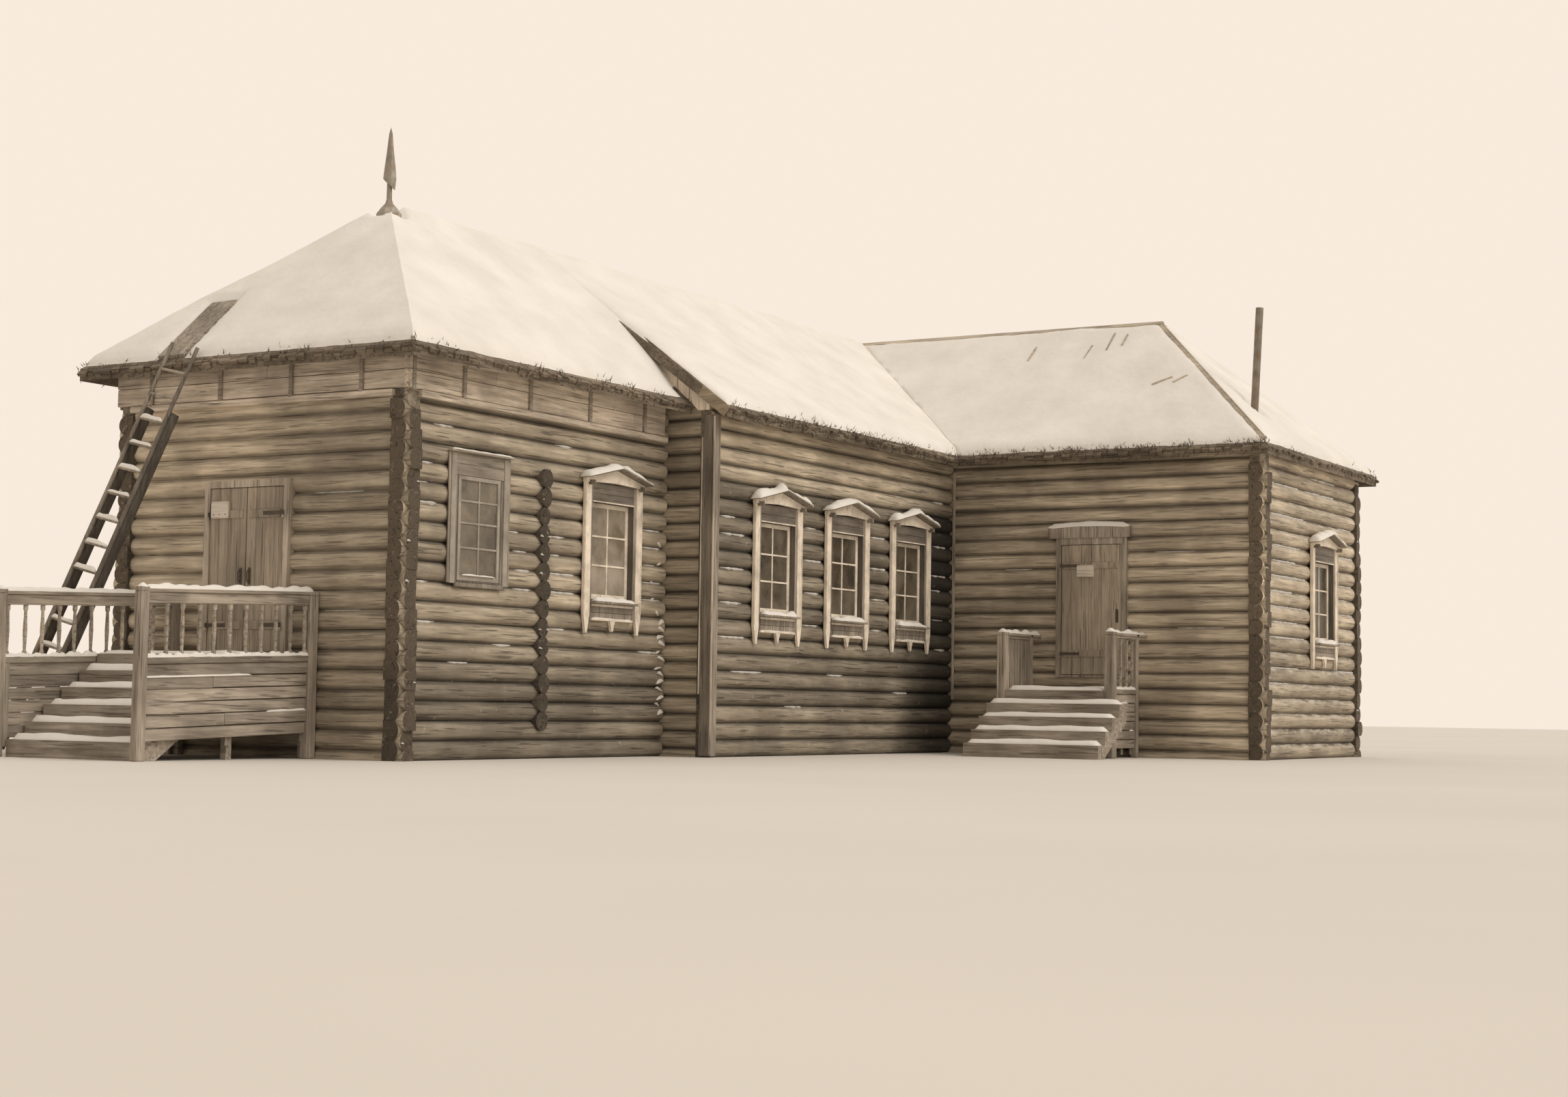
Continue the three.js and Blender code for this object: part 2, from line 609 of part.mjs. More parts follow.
function doorFrame(name, faceX, door, pinSides, lintel) {
  const { y0, y1, z1 } = door;
  const z0 = FLOOR_Z;
  let body = block(faceX - 45, faceX + WALL, y0 + GAP, y1 - GAP, z0, z1);
  const opening = block(faceX - 100, faceX + 22, y0 + JAMB, y1 - JAMB, z0 + 40, z1 - JAMB);
  const stop = block(faceX - 100, faceX + WALL + 100, y0 + JAMB + 25, y1 - JAMB - 25, z0 + 40, z1 - JAMB - 25);
  body = body.subtract(opening).subtract(stop);
  for (const side of pinSides) {
    const jambY = side < 0 ? y0 + JAMB : y1 - JAMB;
    const a = side < 0 ? jambY - 25 : jambY - 12;
    for (const z of hingeHeights(door)) {
      body = body.add(block(faceX - 75, faceX - 43, a, a + 37, z - 66, z - 30 - GAP));
    }
  }
  if (lintel) {
    const mid = (y0 + y1) / 2;
    const half = (y1 - y0) / 2;
    const south = mid - half - 60;
    const north = mid + half + 130;
    const arch = [];
    for (let i = 0; i <= 6; i += 1) {
      const s = -1 + i / 3;
      arch.push([(south + north) / 2 + s * (north - south) / 2, z1 + 205 + 35 * (1 - s * s)]);
    }
    arch.reverse();
    body = body.add(alongX([[south, z1 + 20], [north, z1 + 20], ...arch], faceX - 70, faceX - GAP));
    body = body.add(block(faceX - 45, faceX - GAP, y0 + GAP, y1 - GAP, z1 - 10, z1 + 30));
  }
  place(name, surface(body), paint.board());
}
doorFrame('west_door_frame', 0, WEST_DOOR, [-1, 1], false);
doorFrame('wing_door_frame', X2, WING_DOOR, [1], true);

// A plank leaf with two ledges and strap hinges; local origin at the hinge edge of its outer face
function leaf(name, hinge, width, direction, z0, z1, plate) {
  const y0 = direction > 0 ? 0 : -width;
  const y1 = direction > 0 ? width : 0;
  const bodies = [block(0, LEAF_DEPTH, y0, y1, z0, z1)];
  for (const at of HINGE_AT) {
    const z = z0 + (z1 - z0) * at;
    bodies.push(block(-18, 10, y0 + 50, y1 - 50, z - 55, z + 55));
    const pinY = -direction * LEAF_GAP / 2;
    const knuckle = new THREE.CylinderGeometry(KNUCKLE, KNUCKLE, 60, 12);
    knuckle.rotateX(Math.PI / 2);
    knuckle.translate(-PIN_OUT, pinY, z);
    bodies.push(solid(knuckle));
    const strapEnd = direction * 330;
    bodies.push(block(-26, -17, Math.min(pinY, strapEnd), Math.max(pinY, strapEnd), z - 24, z + 24));
  }
  if (plate) {
    const mid = (y0 + y1) / 2 + plate.side;
    bodies.push(block(-30, 10, mid - 150, mid + 150, plate.z - plate.half, plate.z + plate.half));
  }
  const knob = y0 === 0 ? y1 - 70 : y0 + 70;
  bodies.push(block(-50, 10, knob - 15, knob + 15, z0 + 900, z0 + 1040));
  const geometry = surface(joined(bodies));
  place(name, geometry, paint.door(), [hinge[0], hinge[1], 0]);
}
const leafX = -LEAF_BACK;
const leafZ0 = FLOOR_Z + 40 + LEAF_GAP;
const westOpen = WEST_DOOR.y1 - WEST_DOOR.y0 - 2 * JAMB;
const westLeaf = (westOpen - 2 * LEAF_GAP - 12) / 2;
const westTop = WEST_DOOR.z1 - JAMB - LEAF_GAP;
leaf('west_door_leaf_south', [leafX, WEST_DOOR.y0 + JAMB + LEAF_GAP], westLeaf, 1, leafZ0, westTop, null);
leaf('west_door_leaf_north', [leafX, WEST_DOOR.y1 - JAMB - LEAF_GAP], westLeaf, -1, leafZ0, westTop,
  { side: 130, z: 3185, half: 110 });
const wingLeaf = WING_DOOR.y1 - WING_DOOR.y0 - 2 * JAMB - 2 * LEAF_GAP;
leaf('wing_door_leaf', [X2 + leafX, WING_DOOR.y1 - JAMB - LEAF_GAP], wingLeaf, -1, leafZ0,
  WING_DOOR.z1 - JAMB - LEAF_GAP, { side: 190, z: 3120, half: 100 });

// Outdoor steps: boarded treads and risers on two stringers, rising along +X to a landing at x1
function stepFlight({ x1, landing, landingZ, count, y0, y1, stepY0, stepY1 }) {
  const rise = landingZ / count;
  const board = 45;
  const edge = x1 - landing;
  const steps = count - 1;
  const footX = edge - steps * STEP_RUN;
  const top = [];
  const under = [];
  for (let k = 0; k < steps; k += 1) {
    const x = footX + k * STEP_RUN;
    top.push([x, k * rise]);
    top.push([x, (k + 1) * rise]);
    under.push([x + board, k === 0 ? 0 : k * rise - board]);
    under.push([x + board, (k + 1) * rise - board]);
  }
  const flight = top.concat([[edge - GAP, steps * rise], [edge - GAP, steps * rise - board]], under.reverse());
  const bodies = [alongY(flight, stepY0, stepY1)];
  bodies.push(block(edge, x1, y0, y1, landingZ - board, landingZ));
  bodies.push(block(edge, edge + board, y0, y1, steps * rise - board, landingZ));
  bodies.push(block(edge - 60, edge + board, y0, y1, steps * rise - board, steps * rise));
  const stringer = [
    ...top,
    [edge - GAP, steps * rise],
    [edge - GAP, steps * rise - 300],
    [footX + 240, 0],
  ];
  for (const y of [stepY0, stepY1 - 60]) {
    bodies.push(alongY(stringer, y, y + 60));
  }
  for (const y of [y0, y1 - 90]) {
    bodies.push(block(edge, edge + 90, y, y + 90, 0, landingZ - 10));
    bodies.push(block(x1 - 90, x1, y, y + 90, 0, landingZ - 10));
    bodies.push(block(edge, x1, y, y + 90, landingZ - 200, landingZ - 10));
  }
  return surface(joined(bodies));
}

// A side panel of a porch, along X from x0 to x1 at y; all but its posts climbs by rise per unit of X
function sidePanel({ x0, x1, railX1, y, posts, rise, count, balusterZ0, boardTop, boardBottom, rail, vertical }) {
  const bodies = [];
  const thick = 60;
  bodies.push(block(x0, railX1, y - thick, y + thick, RAIL_TOP_Z - rail, RAIL_TOP_Z));
  bodies.push(block(x0, x1, y - thick + 10, y + thick - 10, balusterZ0 - 80, balusterZ0));
  for (let i = 0; i < count; i += 1) {
    const x = x0 + (x1 - x0) * (i + 0.5) / count;
    const half = vertical ? (x1 - x0) / count * 0.42 : 26;
    const deep = vertical ? 15 : 26;
    bodies.push(block(x - half, x + half, y - deep, y + deep, balusterZ0 - 10, RAIL_TOP_Z - rail + 10));
  }
  const rows = 5;
  const high = (boardTop - boardBottom) / rows;
  for (let i = 0; i < rows; i += 1) {
    const deep = i % 2 === 0 ? 30 : 20;
    const lift = i === rows - 1 ? 0 : 0.5;
    bodies.push(block(x0, x1, y - deep, y + deep, boardBottom + i * high, boardBottom + (i + 1) * high + lift));
  }
  const climbing = joined(bodies).transform([1, 0, rise, 0, 0, 1, 0, 0, 0, 0, 1, 0, 0, 0, -rise * x0, 1]);
  const standing = posts.map((post) => block(post.x0, post.x1, y - post.half, y + post.half, 0, post.top));
  return surface(joined([climbing, ...standing]));
}

const porchPosts = [
  { x0: -PORCH.length - 120, x1: -PORCH.length + 10, half: 65, top: RAIL_TOP_Z + 20 },
  { x0: -160, x1: -GAP, half: 65, top: RAIL_TOP_Z + 100 },
];
const porchPanel = sidePanel({
  x0: -PORCH.length - 60,
  x1: -50,
  railX1: -50,
  y: 0,
  posts: porchPosts,
  rise: 0.0345,
  count: 11,
  balusterZ0: 1200,
  boardTop: 1125,
  boardBottom: 220,
  rail: 170,
  vertical: false,
});
place('porch_south_panel', porchPanel, paint.board(), [0, PORCH.y0, 0]);
place('porch_north_panel', porchPanel.clone(), paint.board(), [0, PORCH.y1, 0]);
const porchIn0 = PORCH.y0 + 65 + GAP;
const porchIn1 = PORCH.y1 - 65 - GAP;
place('porch_steps', stepFlight({
  x1: -GAP,
  landing: 1450,
  landingZ: PORCH_LANDING_Z,
  count: 6,
  y0: porchIn0,
  y1: porchIn1,
  stepY0: porchIn0,
  stepY1: porchIn1,
}), paint.board());

const stoopPosts = [
  { x0: -STOOP.length - 80, x1: -STOOP.length + 80, half: 80, top: RAIL_TOP_Z + 10 },
  { x0: -430, x1: -340, half: 60, top: RAIL_TOP_Z },
];
function stoopPanel(vertical) {
  return sidePanel({
    x0: -STOOP.length + 50,
    x1: -380,
    railX1: -GAP,
    y: 0,
    posts: stoopPosts,
    rise: 0,
    count: vertical ? 5 : 4,
    balusterZ0: 1100,
    boardTop: 1025,
    boardBottom: 150,
    rail: 90,
    vertical,
  });
}
place('stoop_south_panel', stoopPanel(false), paint.board(), [X2, STOOP.y0, 0]);
place('stoop_north_panel', stoopPanel(true), paint.board(), [X2, STOOP.y1, 0]);
place('stoop_steps', stepFlight({
  x1: X2 - GAP,
  landing: STOOP.length + 82,
  landingZ: STOOP_LANDING_Z,
  count: 5,
  y0: STOOP.y0 + 80 + GAP,
  y1: STOOP.y1 - 80 - GAP,
  stepY0: STOOP.y0 - 300,
  stepY1: STOOP.y1 + 120,
}), paint.board());

// Ladder leaning on the west eave beside the porch; below the eave deep planks back its rails
const RAIL_HALF_DEPTH = 35;
const STRING_DEPTH = 165;
const STRING_TOP = 4800;
const ladderFoot = new THREE.Vector3(-2000, 4700, 0);
const eaveReach = Math.hypot(-OVERHANG - ladderFoot.x, WEST_EAVE_Z);
const leanAngle = Math.atan2(-OVERHANG - ladderFoot.x, WEST_EAVE_Z)
  - Math.asin((RAIL_HALF_DEPTH + GAP) / eaveReach);
const ladderTop = new THREE.Vector3(ladderFoot.x + Math.tan(leanAngle) * 5250, 3450, 5250);

function ladder() {
  const lean = new THREE.Vector3().subVectors(ladderTop, ladderFoot);
  const length = lean.length() + 80;
  const up = lean.clone().normalize();
  const wide = new THREE.Vector3(0, 1, 0).addScaledVector(up, -up.y).normalize();
  const out = new THREE.Vector3().crossVectors(wide, up).normalize();
  const geometryBlock = (u0, u1, w0, w1, n0, n1) => {
    const geometry = new THREE.BoxGeometry(u1 - u0, w1 - w0, n1 - n0);
    geometry.translate((u0 + u1) / 2, (w0 + w1) / 2, (n0 + n1) / 2);
    const axes = new THREE.Matrix4().makeBasis(out, wide, up);
    axes.setPosition(ladderFoot);
    geometry.applyMatrix4(axes);
    return solid(geometry);
  };
  const bodies = [];
  for (const side of [-1, 1]) {
    const a = side < 0 ? -270 : 220;
    bodies.push(geometryBlock(-RAIL_HALF_DEPTH, RAIL_HALF_DEPTH, a, a + 50, -120, length));
    bodies.push(geometryBlock(RAIL_HALF_DEPTH - 5, STRING_DEPTH, a, a + 50, -120, STRING_TOP));
  }
  for (let s = 406; s < length - 60; s += 352) {
    bodies.push(geometryBlock(-18, 18, -255, 255, s - 20, s + 20));
  }
  return joined(bodies).subtract(block(-4000, 0, 3000, 6000, -600, 0));
}
place('ladder', surface(ladder()), paint.board());

// Plank walk on the west hip slope, from the eave up to the far hip
function roofWalk() {
  const up = new THREE.Vector3(1, 0.07, WEST_SLOPE).normalize();
  const normal = new THREE.Vector3(-WEST_SLOPE, 0, 1).normalize();
  const along = new THREE.Vector3().crossVectors(new THREE.Vector3().crossVectors(normal, up), normal).normalize();
  const across = new THREE.Vector3().crossVectors(normal, along).normalize();
  const start = new THREE.Vector3(-OVERHANG + 65, 3700, WEST_EAVE_Z + 65 * WEST_SLOPE);
  start.addScaledVector(normal, GAP);
  const axes = new THREE.Matrix4().makeBasis(along, across, normal);
  axes.setPosition(start);
  const piece = (u0, u1, w0, w1, n0, n1) => {
    const geometry = new THREE.BoxGeometry(u1 - u0, w1 - w0, n1 - n0);
    geometry.translate((u0 + u1) / 2, (w0 + w1) / 2, (n0 + n1) / 2);
    geometry.applyMatrix4(axes);
    return solid(geometry);
  };
  const bodies = [piece(0, 1340, -215, 215, 0, 25)];
  for (const [w0, w1] of [[-220, -77], [-71, 71], [77, 220]]) {
    bodies.push(piece(0, 1360, w0, w1, 20, 50));
  }
  return joined(bodies);
}
place('roof_walk', surface(roofWalk()), paint.board());

// Finial on the hip apex: a flared foot, a neck and a worn tapering metal spike
function finial() {
  const lathe = (profile, sides) => {
    const points = profile.map(([r, z]) => new THREE.Vector2(r, z));
    const geometry = new THREE.LatheGeometry(points, sides);
    geometry.rotateX(Math.PI / 2);
    geometry.translate(MID_Y, MID_Y, 0);
    return solid(geometry);
  };
  const foot = lathe([
    [0, RIDGE_Z - 150],
    [170, RIDGE_Z - 150],
    [175, RIDGE_Z - 60],
    [110, RIDGE_Z + 30],
    [55, RIDGE_Z + 90],
    [38, RIDGE_Z + 150],
    [36, RIDGE_Z + 420],
    [0, RIDGE_Z + 420],
  ], 10);
  let spike = lathe([
    [0, RIDGE_Z + 240],
    [72, RIDGE_Z + 240],
    [92, RIDGE_Z + 440],
    [74, RIDGE_Z + 620],
    [50, RIDGE_Z + 820],
    [24, RIDGE_Z + 1080],
    [0, RIDGE_Z + 1170],
  ], 10);
  const cut = new THREE.BoxGeometry(600, 600, 300);
  cut.translate(0, 0, -150);
  cut.rotateY(0.75);
  cut.rotateZ(-1.03);
  cut.translate(MID_Y, MID_Y, RIDGE_Z + 350);
  spike = spike.subtract(solid(cut));
  const lifted = roofSlab([
    [[wx0, wy0, WEST_EAVE_Z + GAP], [X1, wy0, WEST_EAVE_Z + GAP], [X1, MID_Y, RIDGE_Z + GAP],
      [MID_Y, MID_Y, RIDGE_Z + GAP]],
    [[X1, wy1, WEST_EAVE_Z + GAP], [wx0, wy1, WEST_EAVE_Z + GAP], [MID_Y, MID_Y, RIDGE_Z + GAP],
      [X1, MID_Y, RIDGE_Z + GAP]],
    [[wx0, wy1, WEST_EAVE_Z + GAP], [wx0, wy0, WEST_EAVE_Z + GAP], [MID_Y, MID_Y, RIDGE_Z + GAP]],
  ], ROOF_DEPTH + 200);
  return foot.add(spike).subtract(lifted);
}
place('finial', surface(finial()), paint.metal());

// Stovepipe through the wing's hip slope
const pipe = pipeBar(stovePipe.radius, 110, stovePipe.height)
  .subtract(pipeBar(stovePipe.radius - stovePipe.wall, 200, stovePipe.height + 50));
place('stovepipe', surface(pipe), paint.metal());

export default part;
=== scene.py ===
import math
import random

import bmesh
import bpy
from mathutils import Matrix, Vector, noise


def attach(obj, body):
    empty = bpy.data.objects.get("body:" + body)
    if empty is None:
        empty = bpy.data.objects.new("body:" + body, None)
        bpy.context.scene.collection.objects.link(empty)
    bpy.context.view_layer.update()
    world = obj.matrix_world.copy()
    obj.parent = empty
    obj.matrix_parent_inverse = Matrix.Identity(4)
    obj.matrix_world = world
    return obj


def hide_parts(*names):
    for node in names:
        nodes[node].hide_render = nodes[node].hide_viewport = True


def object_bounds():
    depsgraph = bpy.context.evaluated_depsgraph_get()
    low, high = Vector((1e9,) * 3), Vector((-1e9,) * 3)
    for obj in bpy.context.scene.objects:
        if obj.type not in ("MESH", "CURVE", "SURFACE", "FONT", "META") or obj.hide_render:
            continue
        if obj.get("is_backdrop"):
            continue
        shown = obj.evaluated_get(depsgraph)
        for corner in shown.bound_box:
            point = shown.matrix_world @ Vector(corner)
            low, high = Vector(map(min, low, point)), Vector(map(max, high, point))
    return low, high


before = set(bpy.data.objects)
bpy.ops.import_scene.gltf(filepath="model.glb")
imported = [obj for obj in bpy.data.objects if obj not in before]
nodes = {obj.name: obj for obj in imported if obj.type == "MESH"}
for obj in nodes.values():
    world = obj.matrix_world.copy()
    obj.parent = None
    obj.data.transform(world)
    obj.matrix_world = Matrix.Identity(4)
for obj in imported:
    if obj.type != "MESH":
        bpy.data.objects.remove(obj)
cad_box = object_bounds()
random.seed(7)
uniform = random.uniform

# Main sizes in metres. X from the west wall's outer face, Y from the west block's south face.
WALL = 0.24
SHIFT = Vector((-WALL / 2, -WALL / 2, 0))
X1, X2, X3 = 5.9, 13.65, 18.8
WEST_WIDTH = 4.92
MID_Y = WEST_WIDTH / 2
NAVE_STEP = 0.8
WING_STEP = 6.34
COURSE = 0.25
HALF_COURSE = COURSE / 2
LOG_RADIUS = 0.14
LOG_END = 0.04
WEST_STACK, WING_STACK = 4.5, 4.75
LONGEST_LOG = 4.2
OVERHANG = 0.4
NAVE_OVERHANG = 0.3
WING_SIDE_OVERHANG = 0.4
WING_END_OVERHANG = 0.2
NAVE_VERGE = 0.15
WEST_EAVE_Z = 5.12
EAVE_Z = 5.02
RIDGE_Z = 7.56
ROOF_DEPTH = 0.16
FLOOR_Z = 1.3
PORCH_LANDING_Z, STOOP_LANDING_Z = 1.28, 1.07
RAIL_TOP_Z = 2.0
NAVE_SOUTH = -NAVE_STEP
NAVE_NORTH = WEST_WIDTH + NAVE_STEP
WING_SOUTH = -WING_STEP
WING_NORTH = WEST_WIDTH + WING_STEP
WING_RIDGE_X = (X2 + X3) / 2
WEST_EAVE_N = WEST_WIDTH + OVERHANG
NAVE_EAVE_S, NAVE_EAVE_N = NAVE_SOUTH - NAVE_OVERHANG, NAVE_NORTH + NAVE_OVERHANG
WING_EAVE_S, WING_EAVE_N = WING_SOUTH - WING_END_OVERHANG, WING_NORTH + WING_END_OVERHANG
WING_EAVE_W, WING_EAVE_E = X2 - WING_SIDE_OVERHANG, X3 + WING_SIDE_OVERHANG
SNOW_INSET, ROOF_SNOW = 0.03, 0.1
WEST_SLOPE = (RIDGE_Z - WEST_EAVE_Z) / (MID_Y + OVERHANG)
NAVE_SLOPE = (RIDGE_Z - EAVE_Z) / (MID_Y + NAVE_STEP + NAVE_OVERHANG)
WING_RUN = (X3 - X2) / 2 + WING_SIDE_OVERHANG
WING_SLOPE = (RIDGE_Z - EAVE_Z) / WING_RUN
WEST_WALL_TOP = WEST_EAVE_Z + OVERHANG * WEST_SLOPE - ROOF_DEPTH
NAVE_WALL_TOP = EAVE_Z + NAVE_OVERHANG * NAVE_SLOPE - ROOF_DEPTH
WING_WALL_TOP = EAVE_Z + WING_SIDE_OVERHANG * WING_SLOPE - ROOF_DEPTH
WING_END_TOP = EAVE_Z + WING_END_OVERHANG * WING_SLOPE - ROOF_DEPTH
HOODED_HALF, PLAIN_HALF = 0.525, 0.46
SILL_Z, HEAD_Z = 2.1, 3.5
PLAIN_SILL, WEST_HOOD_SILL, NAVE_SILL, WING_SILL = 2.26, 2.16, 2.1, 1.95
PLAIN_X, HOOD_X, CROSS_X = 1.47, 4.49, 2.9
NAVE_WINDOWS = [X1 + 1.79, X1 + 3.95, X1 + 6.12]
WING_WINDOW = X2 + 3.06
WEST_DOOR = (1.86, 3.32, 3.56)
WING_DOOR = (-4.01, -2.75, 3.6)
FACE_SOUTH, FACE_WEST, FACE_NORTH, FACE_EAST = 0.0, -math.pi / 2, math.pi, math.pi / 2


def show(thing):
    bpy.context.scene.collection.objects.link(thing)


# Camera at the photograph's viewing angle: yaw, pitch and roll in degrees, place, lens in pixels
CAMERA_TURN, CAMERA_PLACE = (30.430, 3.832, 0.862), Vector((-22.765, -18.87, 0.749))
FOCAL_PX, PHOTO_PX, SENSOR_MM = 3444.8, 2296, 36


def make_camera():
    yaw, pitch, roll = (math.radians(a) for a in CAMERA_TURN)
    forward = Vector((math.cos(yaw) * math.cos(pitch), math.sin(yaw) * math.cos(pitch), math.sin(pitch)))
    right = Vector((math.sin(yaw), -math.cos(yaw), 0))
    up = right.cross(forward)
    axis_x = right * math.cos(roll) + up * math.sin(roll)
    axis_y = up * math.cos(roll) - right * math.sin(roll)
    data = bpy.data.cameras.new("camera")
    data.sensor_width = SENSOR_MM
    data.lens = SENSOR_MM * FOCAL_PX / PHOTO_PX
    data.clip_end = 500
    camera = bpy.data.objects.new("camera", data)
    show(camera)
    matrix = Matrix((axis_x, axis_y, -forward)).transposed().to_4x4()
    matrix.translation = CAMERA_PLACE
    camera.matrix_world = matrix
    bpy.context.scene.camera = camera


make_camera()


# Materials
class Graph:
    """A material whose nodes are added one by one; colours are given as three numbers."""

    def __init__(self, name):
        self.material = bpy.data.materials.new(name)
        self.material.use_nodes = True
        self.tree = self.material.node_tree
        self.shader = self.tree.nodes["Principled BSDF"]
        self.place = self.add("ShaderNodeTexCoord").outputs["Object"]

    def feed(self, socket, value):
        if isinstance(value, bpy.types.NodeSocket):
            self.tree.links.new(value, socket)
        else:
            socket.default_value = (*value, 1) if socket.type == "RGBA" else value

    def add(self, kind, inputs=None, **settings):
        made = self.tree.nodes.new(kind)
        for key, value in settings.items():
            setattr(made, key, value)
        for key, value in (inputs or {}).items():
            self.feed(made.inputs[key], value)
        return made

    def value(self, name):
        return self.add("ShaderNodeAttribute", attribute_name=name).outputs["Fac"]

    def stretched(self, *scale):
        return self.add("ShaderNodeMapping", {"Vector": self.place, "Scale": scale}).outputs["Vector"]

    def noise(self, vector, scale, detail=4.0, rough=0.6, warp=0.0):
        made = self.add("ShaderNodeTexNoise", {
            "Vector": vector, "Scale": scale, "Detail": detail, "Roughness": rough, "Distortion": warp})
        return made.outputs["Fac"]

    def ramp(self, fac, *stops):
        made = self.add("ShaderNodeValToRGB", {"Fac": fac})
        band = made.color_ramp
        while len(band.elements) < len(stops):
            band.elements.new(0.5)
        for element, (at, colour) in zip(band.elements, stops):
            element.position = at
            element.color = (*colour, 1)
        return made.outputs["Color"]

    def level(self, fac, low, high, out0=0.0, out1=1.0):
        made = self.add("ShaderNodeMapRange", {
            "Value": fac, "From Min": low, "From Max": high, "To Min": out0, "To Max": out1})
        return made.outputs["Result"]

    def mix(self, fac, a, b, mode="MIX"):
        made = self.add("ShaderNodeMix", data_type="RGBA", blend_type=mode)
        self.feed(made.inputs["Factor"], fac)
        self.feed(made.inputs["A"], a)
        self.feed(made.inputs["B"], b)
        return made.outputs["Result"]

    def over(self, base, fac, low, high, amount, colour):
        """Lays colour over base as fac runs from low to high."""
        return self.mix(self.level(fac, low, high, 0.0, amount), base, colour)

    def math(self, kind, a, b=0.0):
        made = self.add("ShaderNodeMath", operation=kind)
        self.feed(made.inputs[0], a)
        self.feed(made.inputs[1], b)
        return made.outputs[0]

    def relief(self, *layers):
        """Bumps laid one over another, each given as height, strength and distance."""
        normal = None
        for height, strength, distance in layers:
            made = self.add("ShaderNodeBump", {"Height": height, "Strength": strength, "Distance": distance})
            if normal is not None:
                self.feed(made.inputs["Normal"], normal)
            normal = made.outputs["Normal"]
        return normal

    def finish(self, colour, rough, normal=None, metallic=0.0):
        self.feed(self.shader.inputs["Base Color"], colour)
        self.feed(self.shader.inputs["Roughness"], rough)
        self.shader.inputs["Metallic"].default_value = metallic
        if normal is not None:
            self.feed(self.shader.inputs["Normal"], normal)
        return self.material


def dimmed(dim, *colour):
    return tuple(c * dim for c in colour)


def timber(name, axis, tones, cracks, rough, own_tone=True, frost=0.0, rime=0.0):
    """Weathered wood with its grain along one axis: streaks, fibres, drying cracks and blotches."""
    g = Graph(name)
    dark, mid, light = tones

    def grain(length, across):
        return g.stretched(*(length if i == axis else across for i in range(3)))

    streak = g.noise(grain(0.5, 7.0), 2.2, 5.0, 0.62, 0.25)
    fibre = g.noise(grain(1.6, 48.0), 2.0, 3.0, 0.7)
    blotch = g.noise(g.place, 0.9, 3.0, 0.55)
    crack = g.noise(grain(0.8, 22.0), 1.7, 2.0, 0.45, 0.35)
    base = g.ramp(streak, (0.28, dark), (0.5, mid), (0.74, light))
    base = g.over(base, fibre, 0.35, 0.75, 0.42, light)
    base = g.over(base, blotch, 0.42, 0.62, 0.55, dark)
    if own_tone:
        # The tone attribute: random tone plus the painted light and shading set on the walls. The ring
        # attribute: painted shading, each log darker toward its joints.
        tone = g.level(g.value("tone"), -0.4, 1.6, 0.1, 2.1)
        painted_joint_shade = g.level(g.value("ring"), 0.0, 0.45, 0.3, 1.0)
        base = g.mix(1.0, base, g.math("MULTIPLY", tone, painted_joint_shade), "MULTIPLY")
    base = g.mix(g.level(crack, 0.355, 0.39, cracks, 0.0), base, dimmed(0.25, *dark))
    if frost:
        base = g.over(base, g.noise(g.place, 9.0, 6.0, 0.7), 0.62, 0.72, frost, (0.72, 0.68, 0.61))
    if rime:
        normal = g.add("ShaderNodeNewGeometry").outputs["Normal"]
        up = g.add("ShaderNodeSeparateXYZ", {"Vector": normal}).outputs["Z"]
        patch = g.noise(grain(0.7, 3.0), 3.2, 7.0, 0.72)
        cover = g.math("MULTIPLY", g.level(up, 0.1, 0.7), g.level(patch, 0.44, 0.6))
        base = g.mix(g.math("MULTIPLY", cover, rime), base, (0.66, 0.6, 0.51))
    split = g.level(crack, 0.34, 0.41)
    relief = g.relief((fibre, 0.35, 0.006), (streak, 0.45, 0.012), (split, 0.7 * cracks, 0.01))
    return g.finish(base, g.level(streak, 0.2, 0.8, rough, rough - 0.14), relief)


def make_snow(name, dim=1.0):
    g = Graph(name)
    drift = g.noise(g.place, 1.3, 4.0, 0.55)
    grain = g.noise(g.place, 55.0, 4.0, 0.7)
    lump = g.noise(g.place, 8.0, 3.0, 0.5)
    base = g.ramp(drift, (0.3, dimmed(dim, 0.78, 0.745, 0.69)), (0.7, dimmed(dim, 0.9, 0.87, 0.815)))
    base = g.over(base, grain, 0.35, 0.7, 0.25, dimmed(dim, 0.97, 0.95, 0.9))
    relief = g.relief((lump, 0.35, 0.03), (grain, 0.3, 0.006))
    return g.finish(base, g.level(grain, 0.3, 0.7, 0.55, 0.8), relief)


def make_end_grain():
    g = Graph("end_grain")
    wobble = g.noise(g.place, 9.0, 2.0, 0.5)
    ring = g.math("ADD", g.value("ring"), g.math("MULTIPLY", wobble, 0.25))
    years = g.math("SINE", g.math("MULTIPLY", ring, 75.0))
    base = g.mix(g.level(years, -1.0, 1.0), (0.07, 0.054, 0.037), (0.19, 0.15, 0.107))
    check = g.noise(g.place, 14.0, 5.0, 0.75, 1.2)
    base = g.mix(g.level(check, 0.38, 0.44, 0.85, 0.0), base, (0.02, 0.015, 0.012))
    base = g.mix(1.0, base, g.level(g.value("tone"), -0.5, 1.5, 0.3, 2.1), "MULTIPLY")
    base = g.over(base, g.noise(g.place, 16.0, 5.0, 0.7), 0.6, 0.68, 0.35, (0.6, 0.55, 0.48))
    return g.finish(base, 0.9, g.relief((years, 0.2, 0.003), (check, 0.6, 0.02)))


